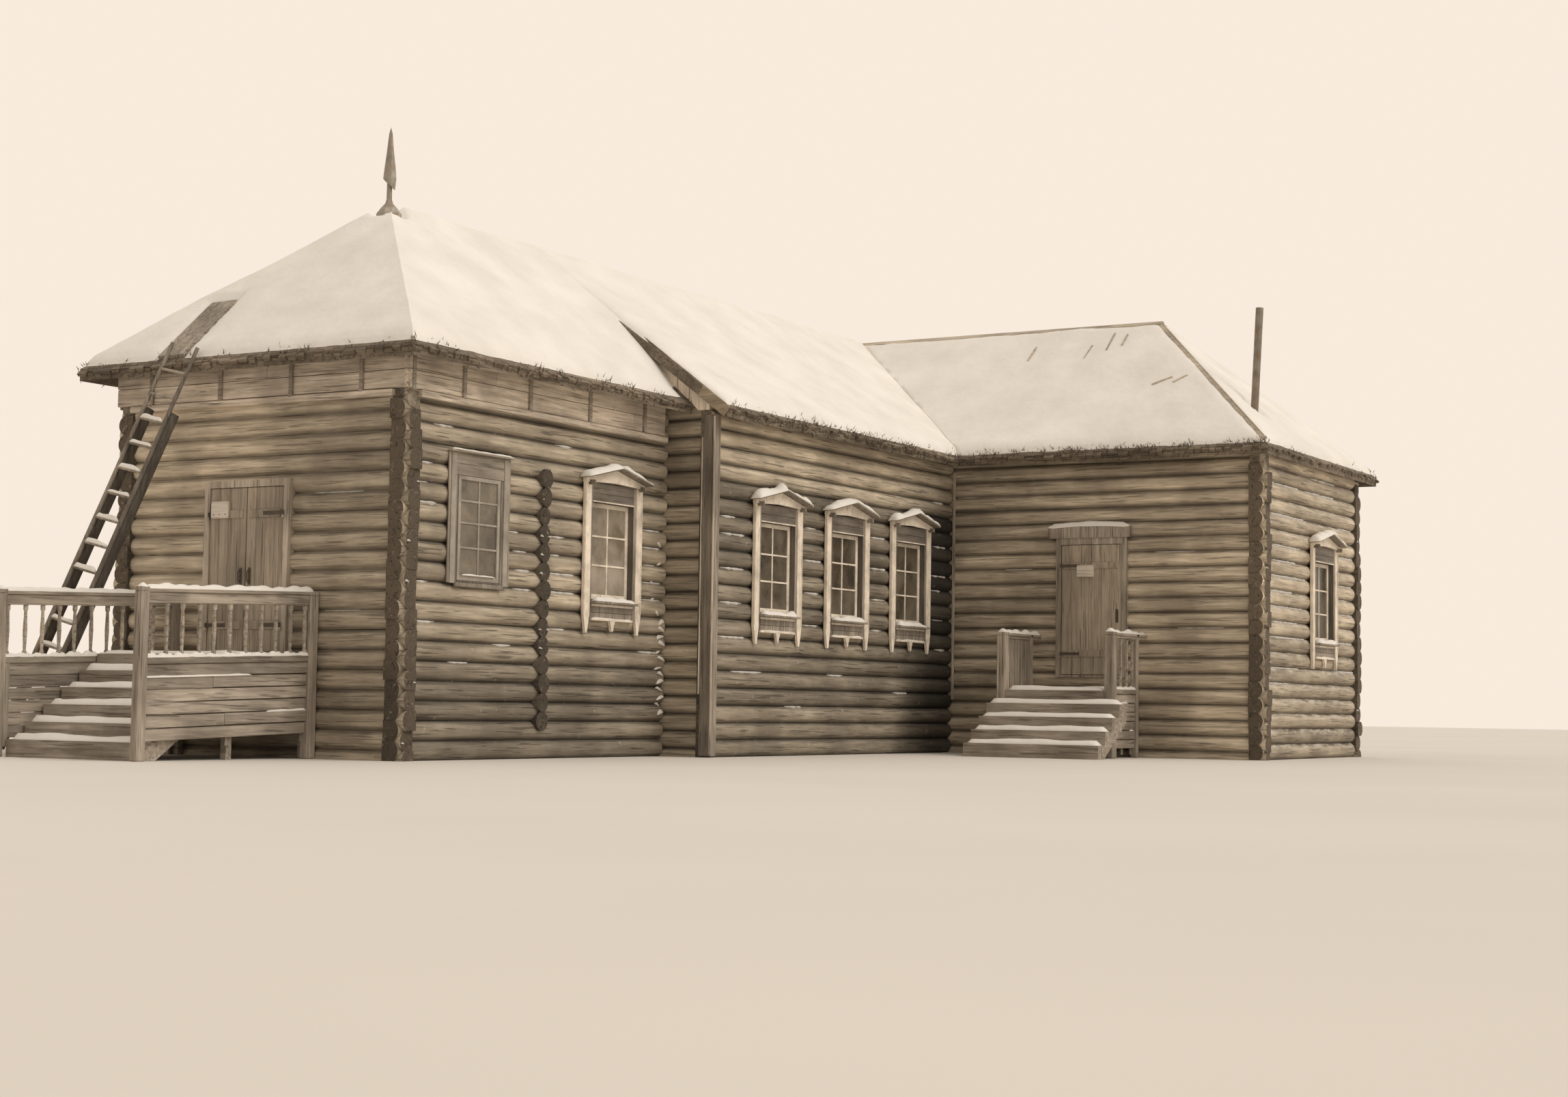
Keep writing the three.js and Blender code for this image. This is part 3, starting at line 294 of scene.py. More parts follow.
def make_paint(name, dim=1.0):
    """Old pale paint on window joinery: worn to grey wood in streaks, dirty in blotches."""
    g = Graph(name)
    worn = g.noise(g.stretched(9.0, 9.0, 1.2), 2.4, 6.0, 0.68, 0.3)
    dirt = g.noise(g.place, 3.2, 5.0, 0.62)
    flake = g.noise(g.place, 34.0, 5.0, 0.7)
    base = g.ramp(dirt, (0.3, dimmed(dim, 0.42, 0.37, 0.305)), (0.62, dimmed(dim, 0.7, 0.63, 0.53)))
    base = g.over(base, worn, 0.56, 0.7, 0.6, (0.27, 0.225, 0.17))
    base = g.over(base, flake, 0.62, 0.67, 0.6, (0.16, 0.13, 0.1))
    relief = g.relief((flake, 0.3, 0.002), (worn, 0.4, 0.005))
    return g.finish(base, g.level(worn, 0.3, 0.7, 0.55, 0.85), relief)


def make_pane(name, clear, cloud, low_frost):
    """Window panes clouded by cold: a soft film, denser low down, over darker clear glass, whose dark colour
    is painted shading of the room behind.
    """
    g = Graph(name)
    film = g.noise(g.place, 2.1, 4.0, 0.55, 0.3)
    crystal = g.noise(g.place, 45.0, 6.0, 0.75)
    height = g.add("ShaderNodeSeparateXYZ", {"Vector": g.place}).outputs["Z"]
    low = g.level(height, 2.15, 2.7, low_frost, 0.0)
    cover = g.level(g.math("ADD", film, low), 0.4, 0.72)
    base = g.over(g.mix(cover, clear, cloud), crystal, 0.5, 0.75, 0.2, (0.5, 0.46, 0.39))
    return g.finish(base, g.level(cover, 0.0, 1.0, 0.18, 0.6), g.relief((crystal, 0.3, 0.002)))


def make_glass():
    g = Graph("inner_glass")
    film = g.noise(g.place, 2.5, 5.0, 0.6)
    streak = g.noise(g.stretched(6.0, 6.0, 1.0), 3.0, 4.0, 0.6)
    base = g.mix(g.level(film, 0.35, 0.65), (0.05, 0.05, 0.045), (0.16, 0.15, 0.13))
    g.shader.inputs["Transmission Weight"].default_value = 0.35
    g.shader.inputs["IOR"].default_value = 1.5
    return g.finish(base, g.level(streak, 0.3, 0.7, 0.08, 0.35), g.relief((streak, 0.1, 0.003)))


def make_metal(name, base_dark, base_light, rust, amount):
    """Sheet metal left to the weather: dull skin, rust in blotches and runs."""
    g = Graph(name)
    skin = g.noise(g.place, 6.0, 5.0, 0.6)
    patch = g.noise(g.stretched(3.0, 3.0, 1.2), 3.5, 7.0, 0.7, 0.4)
    pit = g.noise(g.place, 70.0, 3.0, 0.6)
    base = g.over(g.mix(g.level(skin, 0.3, 0.7), base_dark, base_light), patch, 0.45, 0.62, amount, rust)
    relief = g.relief((pit, 0.3, 0.003), (patch, 0.4, 0.008))
    return g.finish(base, g.level(patch, 0.4, 0.65, 0.5, 0.9), relief, 0.35)


def make_straw():
    g = Graph("eave_straw")
    blend = g.noise(g.place, 14.0, 4.0, 0.6)
    base = g.ramp(blend, (0.3, (0.05, 0.038, 0.026)), (0.7, (0.17, 0.13, 0.085)))
    return g.finish(base, g.level(blend, 0.3, 0.7, 0.95, 0.8), g.relief((blend, 0.4, 0.004)))


# Dark, middle and light tone of each kind of wood
LOG_TONES = (0.15, 0.124, 0.091), (0.31, 0.262, 0.194), (0.5, 0.437, 0.342)
BOARD_TONES = (0.145, 0.12, 0.094), (0.335, 0.285, 0.228), (0.55, 0.485, 0.4)
FRAME_TONES = (0.22, 0.185, 0.145), (0.5, 0.43, 0.345), (0.78, 0.69, 0.57)
DOOR_TONES = (0.2, 0.164, 0.124), (0.4, 0.335, 0.255), (0.57, 0.49, 0.385)
GABLE_TONES = (0.36, 0.305, 0.24), (0.66, 0.57, 0.46), (0.88, 0.78, 0.65)
ROOF_TONES = (0.08, 0.062, 0.044), (0.19, 0.15, 0.108), (0.34, 0.28, 0.205)
HIP_TONES = (0.27, 0.23, 0.175), (0.55, 0.475, 0.375), (0.72, 0.63, 0.51)
BLANK_TONES = (0.52, 0.47, 0.39), (0.74, 0.67, 0.57), (0.84, 0.77, 0.67)
MAT = {
    "log_x": timber("logs_along_x", 0, LOG_TONES, 0.6, 0.9, True, 0.35),
    "log_y": timber("logs_along_y", 1, LOG_TONES, 0.45, 0.9, True, 0.15),
    "log_rimed": timber("rimed_logs", 0, LOG_TONES, 0.5, 0.9, True, 0.35, 0.9),
    "end": make_end_grain(),
    "snow": make_snow("snow"),
    "joint_snow": make_snow("joint_snow", 0.72),
    "paint": make_paint("window_paint", 1.42),
    "old_paint": make_paint("worn_window_paint", 0.62),
    # Each pane's first colour, for its clear glass, is painted shading: the unlit room behind it.
    "pane_mid": make_pane("frosted_pane", (0.1, 0.083, 0.06), (0.27, 0.228, 0.17), 0.1),
    "pane_dark": make_pane("dark_pane", (0.05, 0.04, 0.028), (0.17, 0.14, 0.1), 0.12),
    "pane_pale": make_pane("clouded_pane", (0.2, 0.165, 0.12), (0.42, 0.365, 0.29), 0.1),
    "glass": make_glass(),
    "straw": make_straw(),
    "pipe": make_metal("stovepipe_metal", (0.18, 0.158, 0.13), (0.34, 0.305, 0.255), (0.3, 0.2, 0.13), 0.75),
    "sheet": make_metal("finial_metal", (0.25, 0.222, 0.185), (0.52, 0.475, 0.405), (0.33, 0.24, 0.16), 0.65),
    "iron": make_metal("door_iron", (0.07, 0.06, 0.05), (0.13, 0.115, 0.095), (0.14, 0.085, 0.05), 0.6),
    "door_frame": timber("west_door_frame_boards", 2, FRAME_TONES, 0.5, 0.85, False, 0.15),
    "door": timber("door_planks", 2, DOOR_TONES, 0.5, 0.7),
    "gable": timber("gable_planks", 2, GABLE_TONES, 0.4, 0.85),
    "roof_x": timber("roof_boards_x", 0, ROOF_TONES, 0.6, 0.9, False),
    "roof_y": timber("roof_boards_y", 1, ROOF_TONES, 0.6, 0.9, False),
    "ridge": timber("ridge_boards", 1, ROOF_TONES, 0.6, 0.9),
    "hip": timber("hip_boards", 1, HIP_TONES, 0.4, 0.9, True, 0.2),
    "blank": timber("blank_plate", 1, BLANK_TONES, 0.3, 0.8, False),
}
for i, axis_name in enumerate("xyz"):
    MAT["board_" + axis_name] = timber("boards_along_" + axis_name, i, BOARD_TONES, 0.5, 0.85, True, 0.15)
    MAT["plank_" + axis_name] = timber("planks_along_" + axis_name, i, BOARD_TONES, 0.5, 0.85, False, 0.15)


# Mesh making
AXIS_X, AXIS_Y, AXIS_Z = Vector((1, 0, 0)), Vector((0, 1, 0)), Vector((0, 0, 1))


def jitter(*key):
    return noise.noise(Vector(key))


def unit(value):
    return max(0.0, min(1.0, value))


def fade(value, start, end):
    """0 before start, 1 past end."""
    return unit((value - start) / (end - start))


def circle(centre, a, b, r, count):
    """Points round centre, from the direction a toward b."""
    turns = [2 * math.pi * k / count for k in range(count)]
    return [centre + a * (r * math.cos(turn)) + b * (r * math.sin(turn)) for turn in turns]


class Maker:
    """Collects points and faces in the sizes' own frame and makes one closed piece of them. tone shades the
    material, painted light and shading included; ring runs from 0 in a log's joint or heart to 1 on its crown
    or rim, and on log walls it darkens each log toward its joints as painted shading."""

    def __init__(self, turn=0.0, origin=(0.0, 0.0, 0.0)):
        self.points, self.faces, self.slots = [], [], []
        self.tones, self.rings = [], []
        self.aim(turn, origin)

    def aim(self, turn, origin):
        """Sets where the points given from now on are placed."""
        self.matrix = Matrix.Translation(Vector(origin) + SHIFT) @ Matrix.Rotation(turn, 4, "Z")

    def point(self, p, tone=0.5, ring=1.0):
        self.points.append(self.matrix @ Vector(p))
        self.tones.append(tone)
        self.rings.append(ring)
        return len(self.points) - 1

    def face(self, corners, slot=0, flip=False):
        self.faces.append(tuple(reversed(corners)) if flip else tuple(corners))
        self.slots.append(slot)

    def loft(self, rings, tone=0.5, slot=0, cap_slot=None):
        """Skins closed rings of points, in order, and closes both ends, as fans if cap_slot is given."""
        ids = [[self.point(p, tone) for p in ring] for ring in rings]
        count = len(rings[0])
        for a, b in zip(ids, ids[1:]):
            for i in range(count):
                j = (i + 1) % count
                self.face((a[i], a[j], b[j], b[i]), slot)
        for ring, points, flip in ((ids[0], rings[0], True), (ids[-1], rings[-1], False)):
            if cap_slot is None:
                self.face(ring, slot, flip)
                continue
            hub = self.point(sum((Vector(p) for p in points), Vector()) / count, tone, 0.0)
            rim = [self.point(p, tone) for p in points]
            for i in range(count):
                self.face((rim[i], rim[(i + 1) % count], hub), cap_slot, flip)

    def bar(self, lo, hi, tone=None, slot=0, chamfer=0.005, matrix=None):
        """A box with its edges taken off, moved by the matrix if one is given."""
        tone = uniform(0.25, 0.75) if tone is None else tone
        lo, hi = Vector(map(min, lo, hi)), Vector(map(max, lo, hi))
        mid, half = (lo + hi) / 2, (hi - lo) / 2
        c = min(chamfer, 0.35 * min(half))
        signs = [(x, y, z) for x in (-1, 1) for y in (-1, 1) for z in (-1, 1)]
        ids = {}
        for s in signs:
            for a in range(3):
                p = Vector(mid[i] + s[i] * (half[i] - (0 if i == a else c)) for i in range(3))
                ids[s, a] = self.point(matrix @ p if matrix else p, tone)
        for a in range(3):
            b, d = (a + 1) % 3, (a + 2) % 3

            def corner(sa, sb, sd):
                return tuple({a: sa, b: sb, d: sd}[i] for i in range(3))

            for side in (-1, 1):
                loop = [ids[corner(side, sb, sd), a] for sb, sd in ((-1, -1), (1, -1), (1, 1), (-1, 1))]
                self.face(loop, slot, side < 0)
            for sb in (-1, 1):
                for sd in (-1, 1):
                    s0, s1 = corner(-1, sb, sd), corner(1, sb, sd)
                    self.face([ids[s0, b], ids[s1, b], ids[s1, d], ids[s0, d]], slot, sb * sd > 0)
        for s in signs:
            self.face([ids[s, a] for a in range(3)], slot, s[0] * s[1] * s[2] < 0)

    def twins(self, u0, u1, v0, v1, z0, z1, tone, slot=0, chamfer=0.005):
        """Two bars alike, one on each side of the middle."""
        for sign in (-1, 1):
            self.bar((sign * u0, v0, z0), (sign * u1, v1, z1), tone, slot, chamfer)

    def span(self, half, v0, v1, z0, z1, tone, slot=0, chamfer=0.005):
        """A bar across the middle."""
        self.bar((-half, v0, z0), (half, v1, z1), tone, slot, chamfer)

    def beam(self, p, q, width, height, tone=None, slot=0, up=(0, 0, 1), chamfer=0.006):
        """A bar from p to q; its top face looks along up."""
        p, q = Vector(p), Vector(q)
        run = q - p
        x = run.normalized()
        y = Vector(up).cross(x).normalized()
        z = x.cross(y)
        matrix = Matrix((x, y, z)).transposed().to_4x4()
        matrix.translation = p
        high = Vector((run.length, width / 2, height / 2))
        self.bar((0, -high.y, -high.z), high, tone, slot, chamfer, matrix)

    def prism(self, outline, v0, v1, tone=None, slot=0, plane="xz"):
        """An outline in (x, z), (y, z) or (x, y), drawn out between v0 and v1 on the third axis."""
        tone = uniform(0.25, 0.75) if tone is None else tone
        order = {"xz": lambda a, b, v: (a, v, b), "yz": lambda a, b, v: (v, a, b),
                 "xy": lambda a, b, v: (a, b, v)}[plane]
        near = [self.point(order(a, b, v0), tone) for a, b in outline]
        far = [self.point(order(a, b, v1), tone) for a, b in outline]
        count = len(outline)
        self.face(near, slot)
        self.face(far, slot, True)
        for i in range(count):
            j = (i + 1) % count
            self.face((near[j], near[i], far[i], far[j]), slot)

    def blade(self, root, tip, width, tone=0.5, slot=0):
        """A three-sided stalk that runs out to a point."""
        root, tip = Vector(root), Vector(tip)
        way = (tip - root).normalized()
        side = way.cross(Vector((0.3, 0.5, 0.81))).normalized() * width / 2
        other = way.cross(side).normalized() * width / 2
        a, b, c = (self.point(root + s, tone) for s in (side, -side * 0.5 + other, -side * 0.5 - other))
        t = self.point(tip, tone)
        for loop in ((a, b, t), (b, c, t), (c, a, t), (c, b, a)):
            self.face(loop, slot)

    def heap(self, p, q, side, width, high, step=0.07, ragged=0.35, seed=0.0):
        """A low ridge of snow on a narrow ledge from p to q, rounded across and at both ends."""
        p, q, side = Vector(p), Vector(q), Vector(side).normalized()
        run = q - p
        count = max(4, int(run.length / step))
        across = (-1.0, -0.93, -0.7, -0.3, 0.15, 0.55, 0.85, 1.0)
        rings = []
        for i in range(count + 1):
            s = i / count
            base = p + run * s
            end = min(s, 1 - s) * run.length
            full = min(1.0, end / (high * 0.9 + 0.01)) ** 0.5
            n = jitter(base.x * 5 + seed, base.y * 5, base.z * 5)
            fat = jitter(base.x * 3 + 9 + seed, base.y * 3, base.z * 3)
            top = high * (1 + ragged * n * 1.6) * max(0.04, full)
            half = width / 2 * (1 + 0.14 * fat) * (0.75 + 0.25 * full)
            ring = [base + side * (a * half) + AXIS_Z * (top * (1 - abs(a) ** 2.6)) for a in across]
            rings.append(ring + [base + side * (a * half) - AXIS_Z * 0.006 for a in (0.9, -0.9)])
        self.loft(rings)

    def drift(self, x0, x1, y, z, width, high, step, ragged, seed, end_z=None):
        """A heap along x, level unless its far end's height is given."""
        far = (x1, y, z if end_z is None else end_z)
        self.heap((x0, y, z), far, AXIS_Y, width, high, step, ragged, seed)

    def piece(self, name, materials, body="building", slot=None, replaces=(), smooth=35):
        """Makes the object. smooth: the angle in degrees past which an edge stays sharp, 0 for flat faces."""
        mesh = bpy.data.meshes.new(name)
        mesh.from_pydata([tuple(p) for p in self.points], [], self.faces)
        for material in materials:
            mesh.materials.append(MAT[material])
        mesh.polygons.foreach_set("material_index", self.slots)
        for label, values in (("tone", self.tones), ("ring", self.rings)):
            layer = mesh.attributes.new(label, "FLOAT", "POINT")
            layer.data.foreach_set("value", values)
        made = bpy.data.objects.new(name, mesh)
        show(made)
        tidy_normals(mesh)
        if smooth:
            mesh.shade_smooth()
            mesh.set_sharp_from_angle(angle=math.radians(smooth))
        mesh.validate()
        mesh.update()
        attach(made, body)
        if replaces:
            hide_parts(*replaces)

    def snow_piece(self, name, material="snow"):
        self.piece(name, [material], smooth=60)


def tidy_normals(mesh):
    """Turns all faces of a closed mesh outward."""
    work = bmesh.new()
    work.from_mesh(mesh)
    bmesh.ops.recalc_face_normals(work, faces=work.faces)
    work.to_mesh(mesh)
    work.free()


# Log walls
def log_face(off):
    """Depth of a log's rounded face behind its foremost line, off above or below its middle."""
    off = min(abs(off), HALF_COURSE)
    return LOG_RADIUS - math.sqrt(LOG_RADIUS ** 2 - off ** 2)


def log_ring(u, za, zb, zc, round_back, shift_v, shift_z, swell):
    """One cut through a log in the wall's frame: v is depth from the outer face."""
    steps = 8
    front = []
    for i in range(steps + 1):
        z = za + (zb - za) * i / steps
        off = min(abs(z - zc), HALF_COURSE)
        v = log_face(off) + shift_v - swell * (1 - (off / HALF_COURSE) ** 2)
        front.append((u, v, z + shift_z))
    if round_back:
        back = [(u, WALL - v + 2 * shift_v, z) for u, v, z in reversed(front)]
    else:
        back = [(u, WALL, zb), (u, WALL, za)]
    return front + back


def lay_log(m, u0, u1, za, zb, zc, course, round_back=False, ends=(False, False), tone=0.5, extra=0.0,
            cap_tone=0.3):
    """One log of a course whose middle is at zc. ends: whether each end shows its end grain."""
    rings = []
    count = max(2, int((u1 - u0) / 0.32))
    for i in range(count + 1):
        u = u0 + (u1 - u0) * i / count
        shift_v = 0.007 * jitter(u * 0.9, course * 3.1, extra) + 0.002 * jitter(u * 9, course, 4.0 + extra)
        shift_z = 0.006 * jitter(u * 0.6 + 30, course * 2.3, extra)
        swell = 0.008 * jitter(u * 0.4, course * 5.7, 8 + extra)
        rings.append(log_ring(u, za, zb, zc, round_back, shift_v, shift_z, swell))
    for index, open_end in zip((0, -1), ends):
        if open_end:
            tilt = uniform(-0.02, 0.02)
            rings[index] = [(u + tilt * (v - 0.12) * 4, v, z) for u, v, z in rings[index]]
    first = len(m.points)
    m.loft(rings, tone, 0, 1 if any(ends) else None)
    body = [p for ring in rings for p in ring]
    for i, p in enumerate(body):
        m.rings[first + i] = max(0.0, 1 - abs(p[2] - zc) / HALF_COURSE)
    for i in range(first + len(body), len(m.points)):
        m.tones[i] = cap_tone + uniform(-0.08, 0.08)


def log_wall(name, face, origin, length, z1, shift, holes=(), outs=(0.0, 0.0), stack_top=WEST_STACK,
             columns=(), replaces=(), seed=0.0, light=0.0, painted_shading_and_frost=None, rimed=False, cap_tone=0.3, soft=0.0):
    """Logs laid course by course, cut at holes (from, to, bottom, top). outs: how far the ends stand out
    below stack_top; columns: where a cross wall's log ends show; light: painted light, a tone added to the
    whole wall for how much light its side gets; the shading function, given p, adds to the tone at p: painted
    light and shading, with some lighter frosted patches; soft: the least ring value, which eases the painted
    shading in the joints."""
    m = Maker(face, (*origin, 0))
    grain = "log_x" if face in (FACE_SOUTH, FACE_NORTH) else "log_y"
    first = int(math.floor(-shift / COURSE)) - 1
    for k in range(first, int(z1 / COURSE) + 2):
        base = shift + k * COURSE
        za, zb, zc = max(0.0, base), min(z1, base + COURSE), base + HALF_COURSE
        if zb - za < 0.02:
            continue
        below = zb <= stack_top + 0.01
        left = outs[0] + uniform(-0.025, 0.02) if outs[0] and below else 0.0
        right = outs[1] + uniform(-0.025, 0.02) if outs[1] and below else 0.0
        u0, u1 = -left, length + right
        cuts = sorted({u0, u1, *(c for h in holes for c in h[:2] if u0 < c < u1)})
        # The course's tone: random, plus the wall's painted light.
        tone = 0.5 + 0.42 * jitter(k * 1.7, seed, 3.0) + uniform(-0.13, 0.13) + light
        joint = uniform(0.25, 0.75)
        for a, b in zip(cuts, cuts[1:]):
            mid = (a + b) / 2
            spans = [(za, zb)]
            for h0, h1, low, high in holes:
                if h0 < mid < h1:
                    spans = [(za, min(zb, low)), (max(za, high), zb)]
                    spans = [(s0, s1) for s0, s1 in spans if s1 - s0 > 0.015]
            for s0, s1 in spans:
                ends = [bool(left) and a == u0, bool(right) and b == u1]
                runs = [(a, b, ends, tone)]
                if b - a > LONGEST_LOG:
                    split = a + (b - a) * joint
                    other = tone + uniform(-0.16, 0.16)
                    runs = [(a, split, [ends[0], False], tone), (split, b, [False, ends[1]], other)]
                for r0, r1, run_ends, run_tone in runs:
                    lay_log(m, r0, r1, s0, s1, zc, k, False, run_ends, run_tone, seed, cap_tone)
    # Painted light and shading from the shading function, with any lighter frosted patches.
    if painted_shading_and_frost:
        m.tones = [tone + painted_shading_and_frost(p - SHIFT) for tone, p in zip(m.tones, m.points)]
    # A floor under the ring values: soft eases the painted shading in the joints.
    m.rings = [max(ring, soft) for ring in m.rings]
    m.piece(name, ["log_rimed" if rimed else grain, "end"], slot="logs", replaces=replaces)
    for u in columns:
        cross_ends(name.replace("logs", "cross_ends"), face, origin, u, shift, COURSE, stack_top - 3 * COURSE)


def cross_ends(name, face, origin, u, shift, z0, z1):
    """Ends of a cross wall's logs that stand out of a side wall."""
    m = Maker(face, (*origin, 0))
    m.matrix = m.matrix @ Matrix.Translation((u + WALL / 2, 0, 0)) @ Matrix.Rotation(math.pi / 2, 4, "Z")
    k = 0
    base = shift + HALF_COURSE
    while base < z1:
        if base >= z0 - 0.01:
            out = LOG_END + uniform(-0.02, 0.015)
            tone = uniform(-0.3, 0.05)
            lay_log(m, -out, 0.06, base, base + COURSE, base + HALF_COURSE, k, True, (True, False), tone, 5.0,
                    -0.2)
        base += COURSE
        k += 1
    m.piece(name, ["log_y", "end"], slot="logs")


def window_hole(u, half, sill):
    """A hole as log_wall takes it, round a window with its middle at u."""
    return (u - half, u + half, sill, sill + HEAD_Z - SILL_Z)


def patch(p, a0, a1, z0, z1, amount, axis=0):
    """A soft-edged lighter or darker patch on a wall, between a0 and a1 along it."""
    along = min(p[axis] - a0, a1 - p[axis]) / 0.15
    return amount * unit(min(along, (p.z - z0) / 0.05, (z1 - p.z) / 0.05))


def mirrored(holes, length):
    return [(length - b, length - a, low, high) for a, b, low, high in holes]


# The walls along Y are laid half a course higher than those along X, so that their logs cross
side_holes = [window_hole(PLAIN_X, PLAIN_HALF, PLAIN_SILL), window_hole(HOOD_X, HOODED_HALF, WEST_HOOD_SILL)]
# West block's south wall: painted light lifts the whole wall; lighter frosted patches beside the plain window
# and at the east end; painted shading darkens the lowest logs.
log_wall("west_block_south_logs", FACE_SOUTH, (0, 0), X1, WEST_WALL_TOP, 0.0, side_holes, (LOG_END, 0),
         columns=[CROSS_X], replaces=["west_block_south_wall"], seed=1.0, light=0.28,
         painted_shading_and_frost=lambda p: (patch(p, 2.1, 2.8, 2.27, 2.6, 0.8) + patch(p, 3.05, 3.8, 2.05, 2.62, 0.7)
                          + patch(p, 5.15, 5.9, 2.2, 3.2, 0.5) - 0.45 * fade(p.z, 1.35, 1.0)))
log_wall("west_block_north_logs", FACE_NORTH, (X1, WEST_WIDTH), X1, WEST_WALL_TOP, 0.0,
         mirrored(side_holes, X1), (0, LOG_END), columns=[X1 - CROSS_X],
         replaces=["west_block_north_wall"], seed=2.0)
# West front: painted light lifts the whole wall, more toward the north end; soft eases the painted shading in
# the joints.
log_wall("west_front_logs", FACE_WEST, (0, WEST_WIDTH), WEST_WIDTH, WEST_WALL_TOP, HALF_COURSE,
         [(WEST_WIDTH - WEST_DOOR[1], WEST_WIDTH - WEST_DOOR[0], FLOOR_Z, WEST_DOOR[2])], (LOG_END, LOG_END),
         replaces=["west_wall_south_of_door", "west_wall_north_of_door", "west_wall_over_door",
                   "west_wall_under_door"], seed=3.0, light=0.22, cap_tone=0.1, soft=0.2,
         painted_shading_and_frost=lambda p: 0.75 * fade(p.y, 1.5, 3.3))
# Return wall: light set lower than on the west block's walls, painted shading for the corner it stands in.
log_wall("nave_south_return_logs", FACE_WEST, (X1, WALL), NAVE_STEP, NAVE_WALL_TOP, HALF_COURSE,
         replaces=["nave_south_return_wall"], seed=4.0, light=0.15)
log_wall("nave_north_return_logs", FACE_WEST, (X1, NAVE_NORTH - WALL), NAVE_STEP, NAVE_WALL_TOP, HALF_COURSE,
         replaces=["nave_north_return_wall"], seed=5.0)
nave_holes = [window_hole(x - X1, HOODED_HALF, NAVE_SILL) for x in NAVE_WINDOWS]
# Nave's south wall: a little darker overall; painted light on the top logs under the eave; painted shading
# toward the corner by the wing.
log_wall("nave_south_logs", FACE_SOUTH, (X1, NAVE_SOUTH), X2 - X1, NAVE_WALL_TOP, 0.0, nave_holes,
         replaces=["nave_south_wall"], seed=6.0, light=-0.1,
         painted_shading_and_frost=lambda p: 0.9 * fade(p.z, 3.9, 4.2) - 0.7 * fade(p.x, 11.5, 12.8))
log_wall("nave_north_logs", FACE_NORTH, (X2, NAVE_NORTH), X2 - X1, NAVE_WALL_TOP, 0.0,
         mirrored(nave_holes, X2 - X1), replaces=["nave_north_wall"], seed=7.0)
front_top = NAVE_SOUTH + WALL
# Wing's west front: painted light lifts the whole wall and the top logs under the eave; a paler log and a
# darker band near the top; darker toward the nave; soft eases the painted shading in the joints.
log_wall("wing_front_logs", FACE_WEST, (X2, front_top), front_top - WING_SOUTH, WING_WALL_TOP, HALF_COURSE,
         [(front_top - WING_DOOR[1], front_top - WING_DOOR[0], FLOOR_Z, WING_DOOR[2])], (0, LOG_END),
         WING_STACK, replaces=["wing_front_wall_corner", "wing_front_wall_inner", "wing_front_wall_over_door",
                   "wing_front_wall_under_door"], seed=8.0, light=0.68, soft=0.08,
         painted_shading_and_frost=lambda p: (patch(p, -5.45, -3.85, 4.39, 4.6, 0.7, 1) - patch(p, -6.6, -0.8, 4.03, 4.2, 0.5, 1)
                          + 0.3 * fade(p.z, 4.7, 4.8) - 0.2 * fade(p.y, -3.2, -2.2)))
log_wall("wing_front_north_logs", FACE_WEST, (X2, WING_NORTH), WING_NORTH - NAVE_NORTH + WALL, WING_WALL_TOP,
         HALF_COURSE, (), (LOG_END, 0), WING_STACK, replaces=["wing_front_wall_north"], seed=9.0)
wing_holes = [window_hole(WING_WINDOW - X2, HOODED_HALF, WING_SILL)]
# Wing's south end: painted light lifts the whole wall and the top logs under the eave; painted shading
# darkens the lower logs; rime on the logs' upper faces.
log_wall("wing_south_logs", FACE_SOUTH, (X2, WING_SOUTH), X3 - X2, WING_END_TOP, 0.0, wing_holes,
         (LOG_END, LOG_END), WING_STACK, replaces=["wing_south_wall"], seed=10.0, light=0.75, rimed=True,
         soft=0.08, cap_tone=0.55,
         painted_shading_and_frost=lambda p: 0.35 * fade(p.z, 4.6, 4.8) - 0.45 * fade(p.z, 2.3, 1.9))
log_wall("wing_north_logs", FACE_NORTH, (X3, WING_NORTH), X3 - X2, WING_END_TOP, 0.0,
         mirrored(wing_holes, X3 - X2), (LOG_END, LOG_END), WING_STACK, replaces=["wing_north_wall"],
         seed=11.0)
log_wall("wing_rear_logs", FACE_EAST, (X3, WING_SOUTH), WING_NORTH - WING_SOUTH, WING_WALL_TOP, HALF_COURSE,
         (), (LOG_END, LOG_END), WING_STACK, replaces=["wing_rear_wall"], seed=12.0)


# Snow on the roofs
def walk_frame():
    """Start, way up and way across of the plank walk on the west roof slope."""
    normal = Vector((-WEST_SLOPE, 0, 1)).normalized()
    up = Vector((1, 0.07, WEST_SLOPE)).normalized()
    way = (normal.cross(up)).cross(normal).normalized()
    across = normal.cross(way).normalized()
    start = Vector((-OVERHANG + 0.065, 3.7, WEST_EAVE_Z + 0.065 * WEST_SLOPE))
    return start, way, across


WALK_START, WALK_WAY, WALK_ACROSS = walk_frame()
PIPE = (15.3, -5.61)


def bare_share(p):
    """0 where the roof lies bare, 1 in deep snow: round the plank walk, the pipe and the finial."""
    d = p - WALK_START
    u, w = d.dot(WALK_WAY), abs(d.dot(WALK_ACROSS))
    walk = max(-0.3 - u, u - 1.34, w - 0.225) / 0.09 if p.x < 1.6 else 1.0
    pipe = (math.hypot(p.x - PIPE[0], p.y - PIPE[1]) - 0.1) / 0.16
    finial = (math.hypot(p.x - MID_Y, p.y - MID_Y) - 0.17) / 0.12
    return unit(min(walk, pipe, finial))


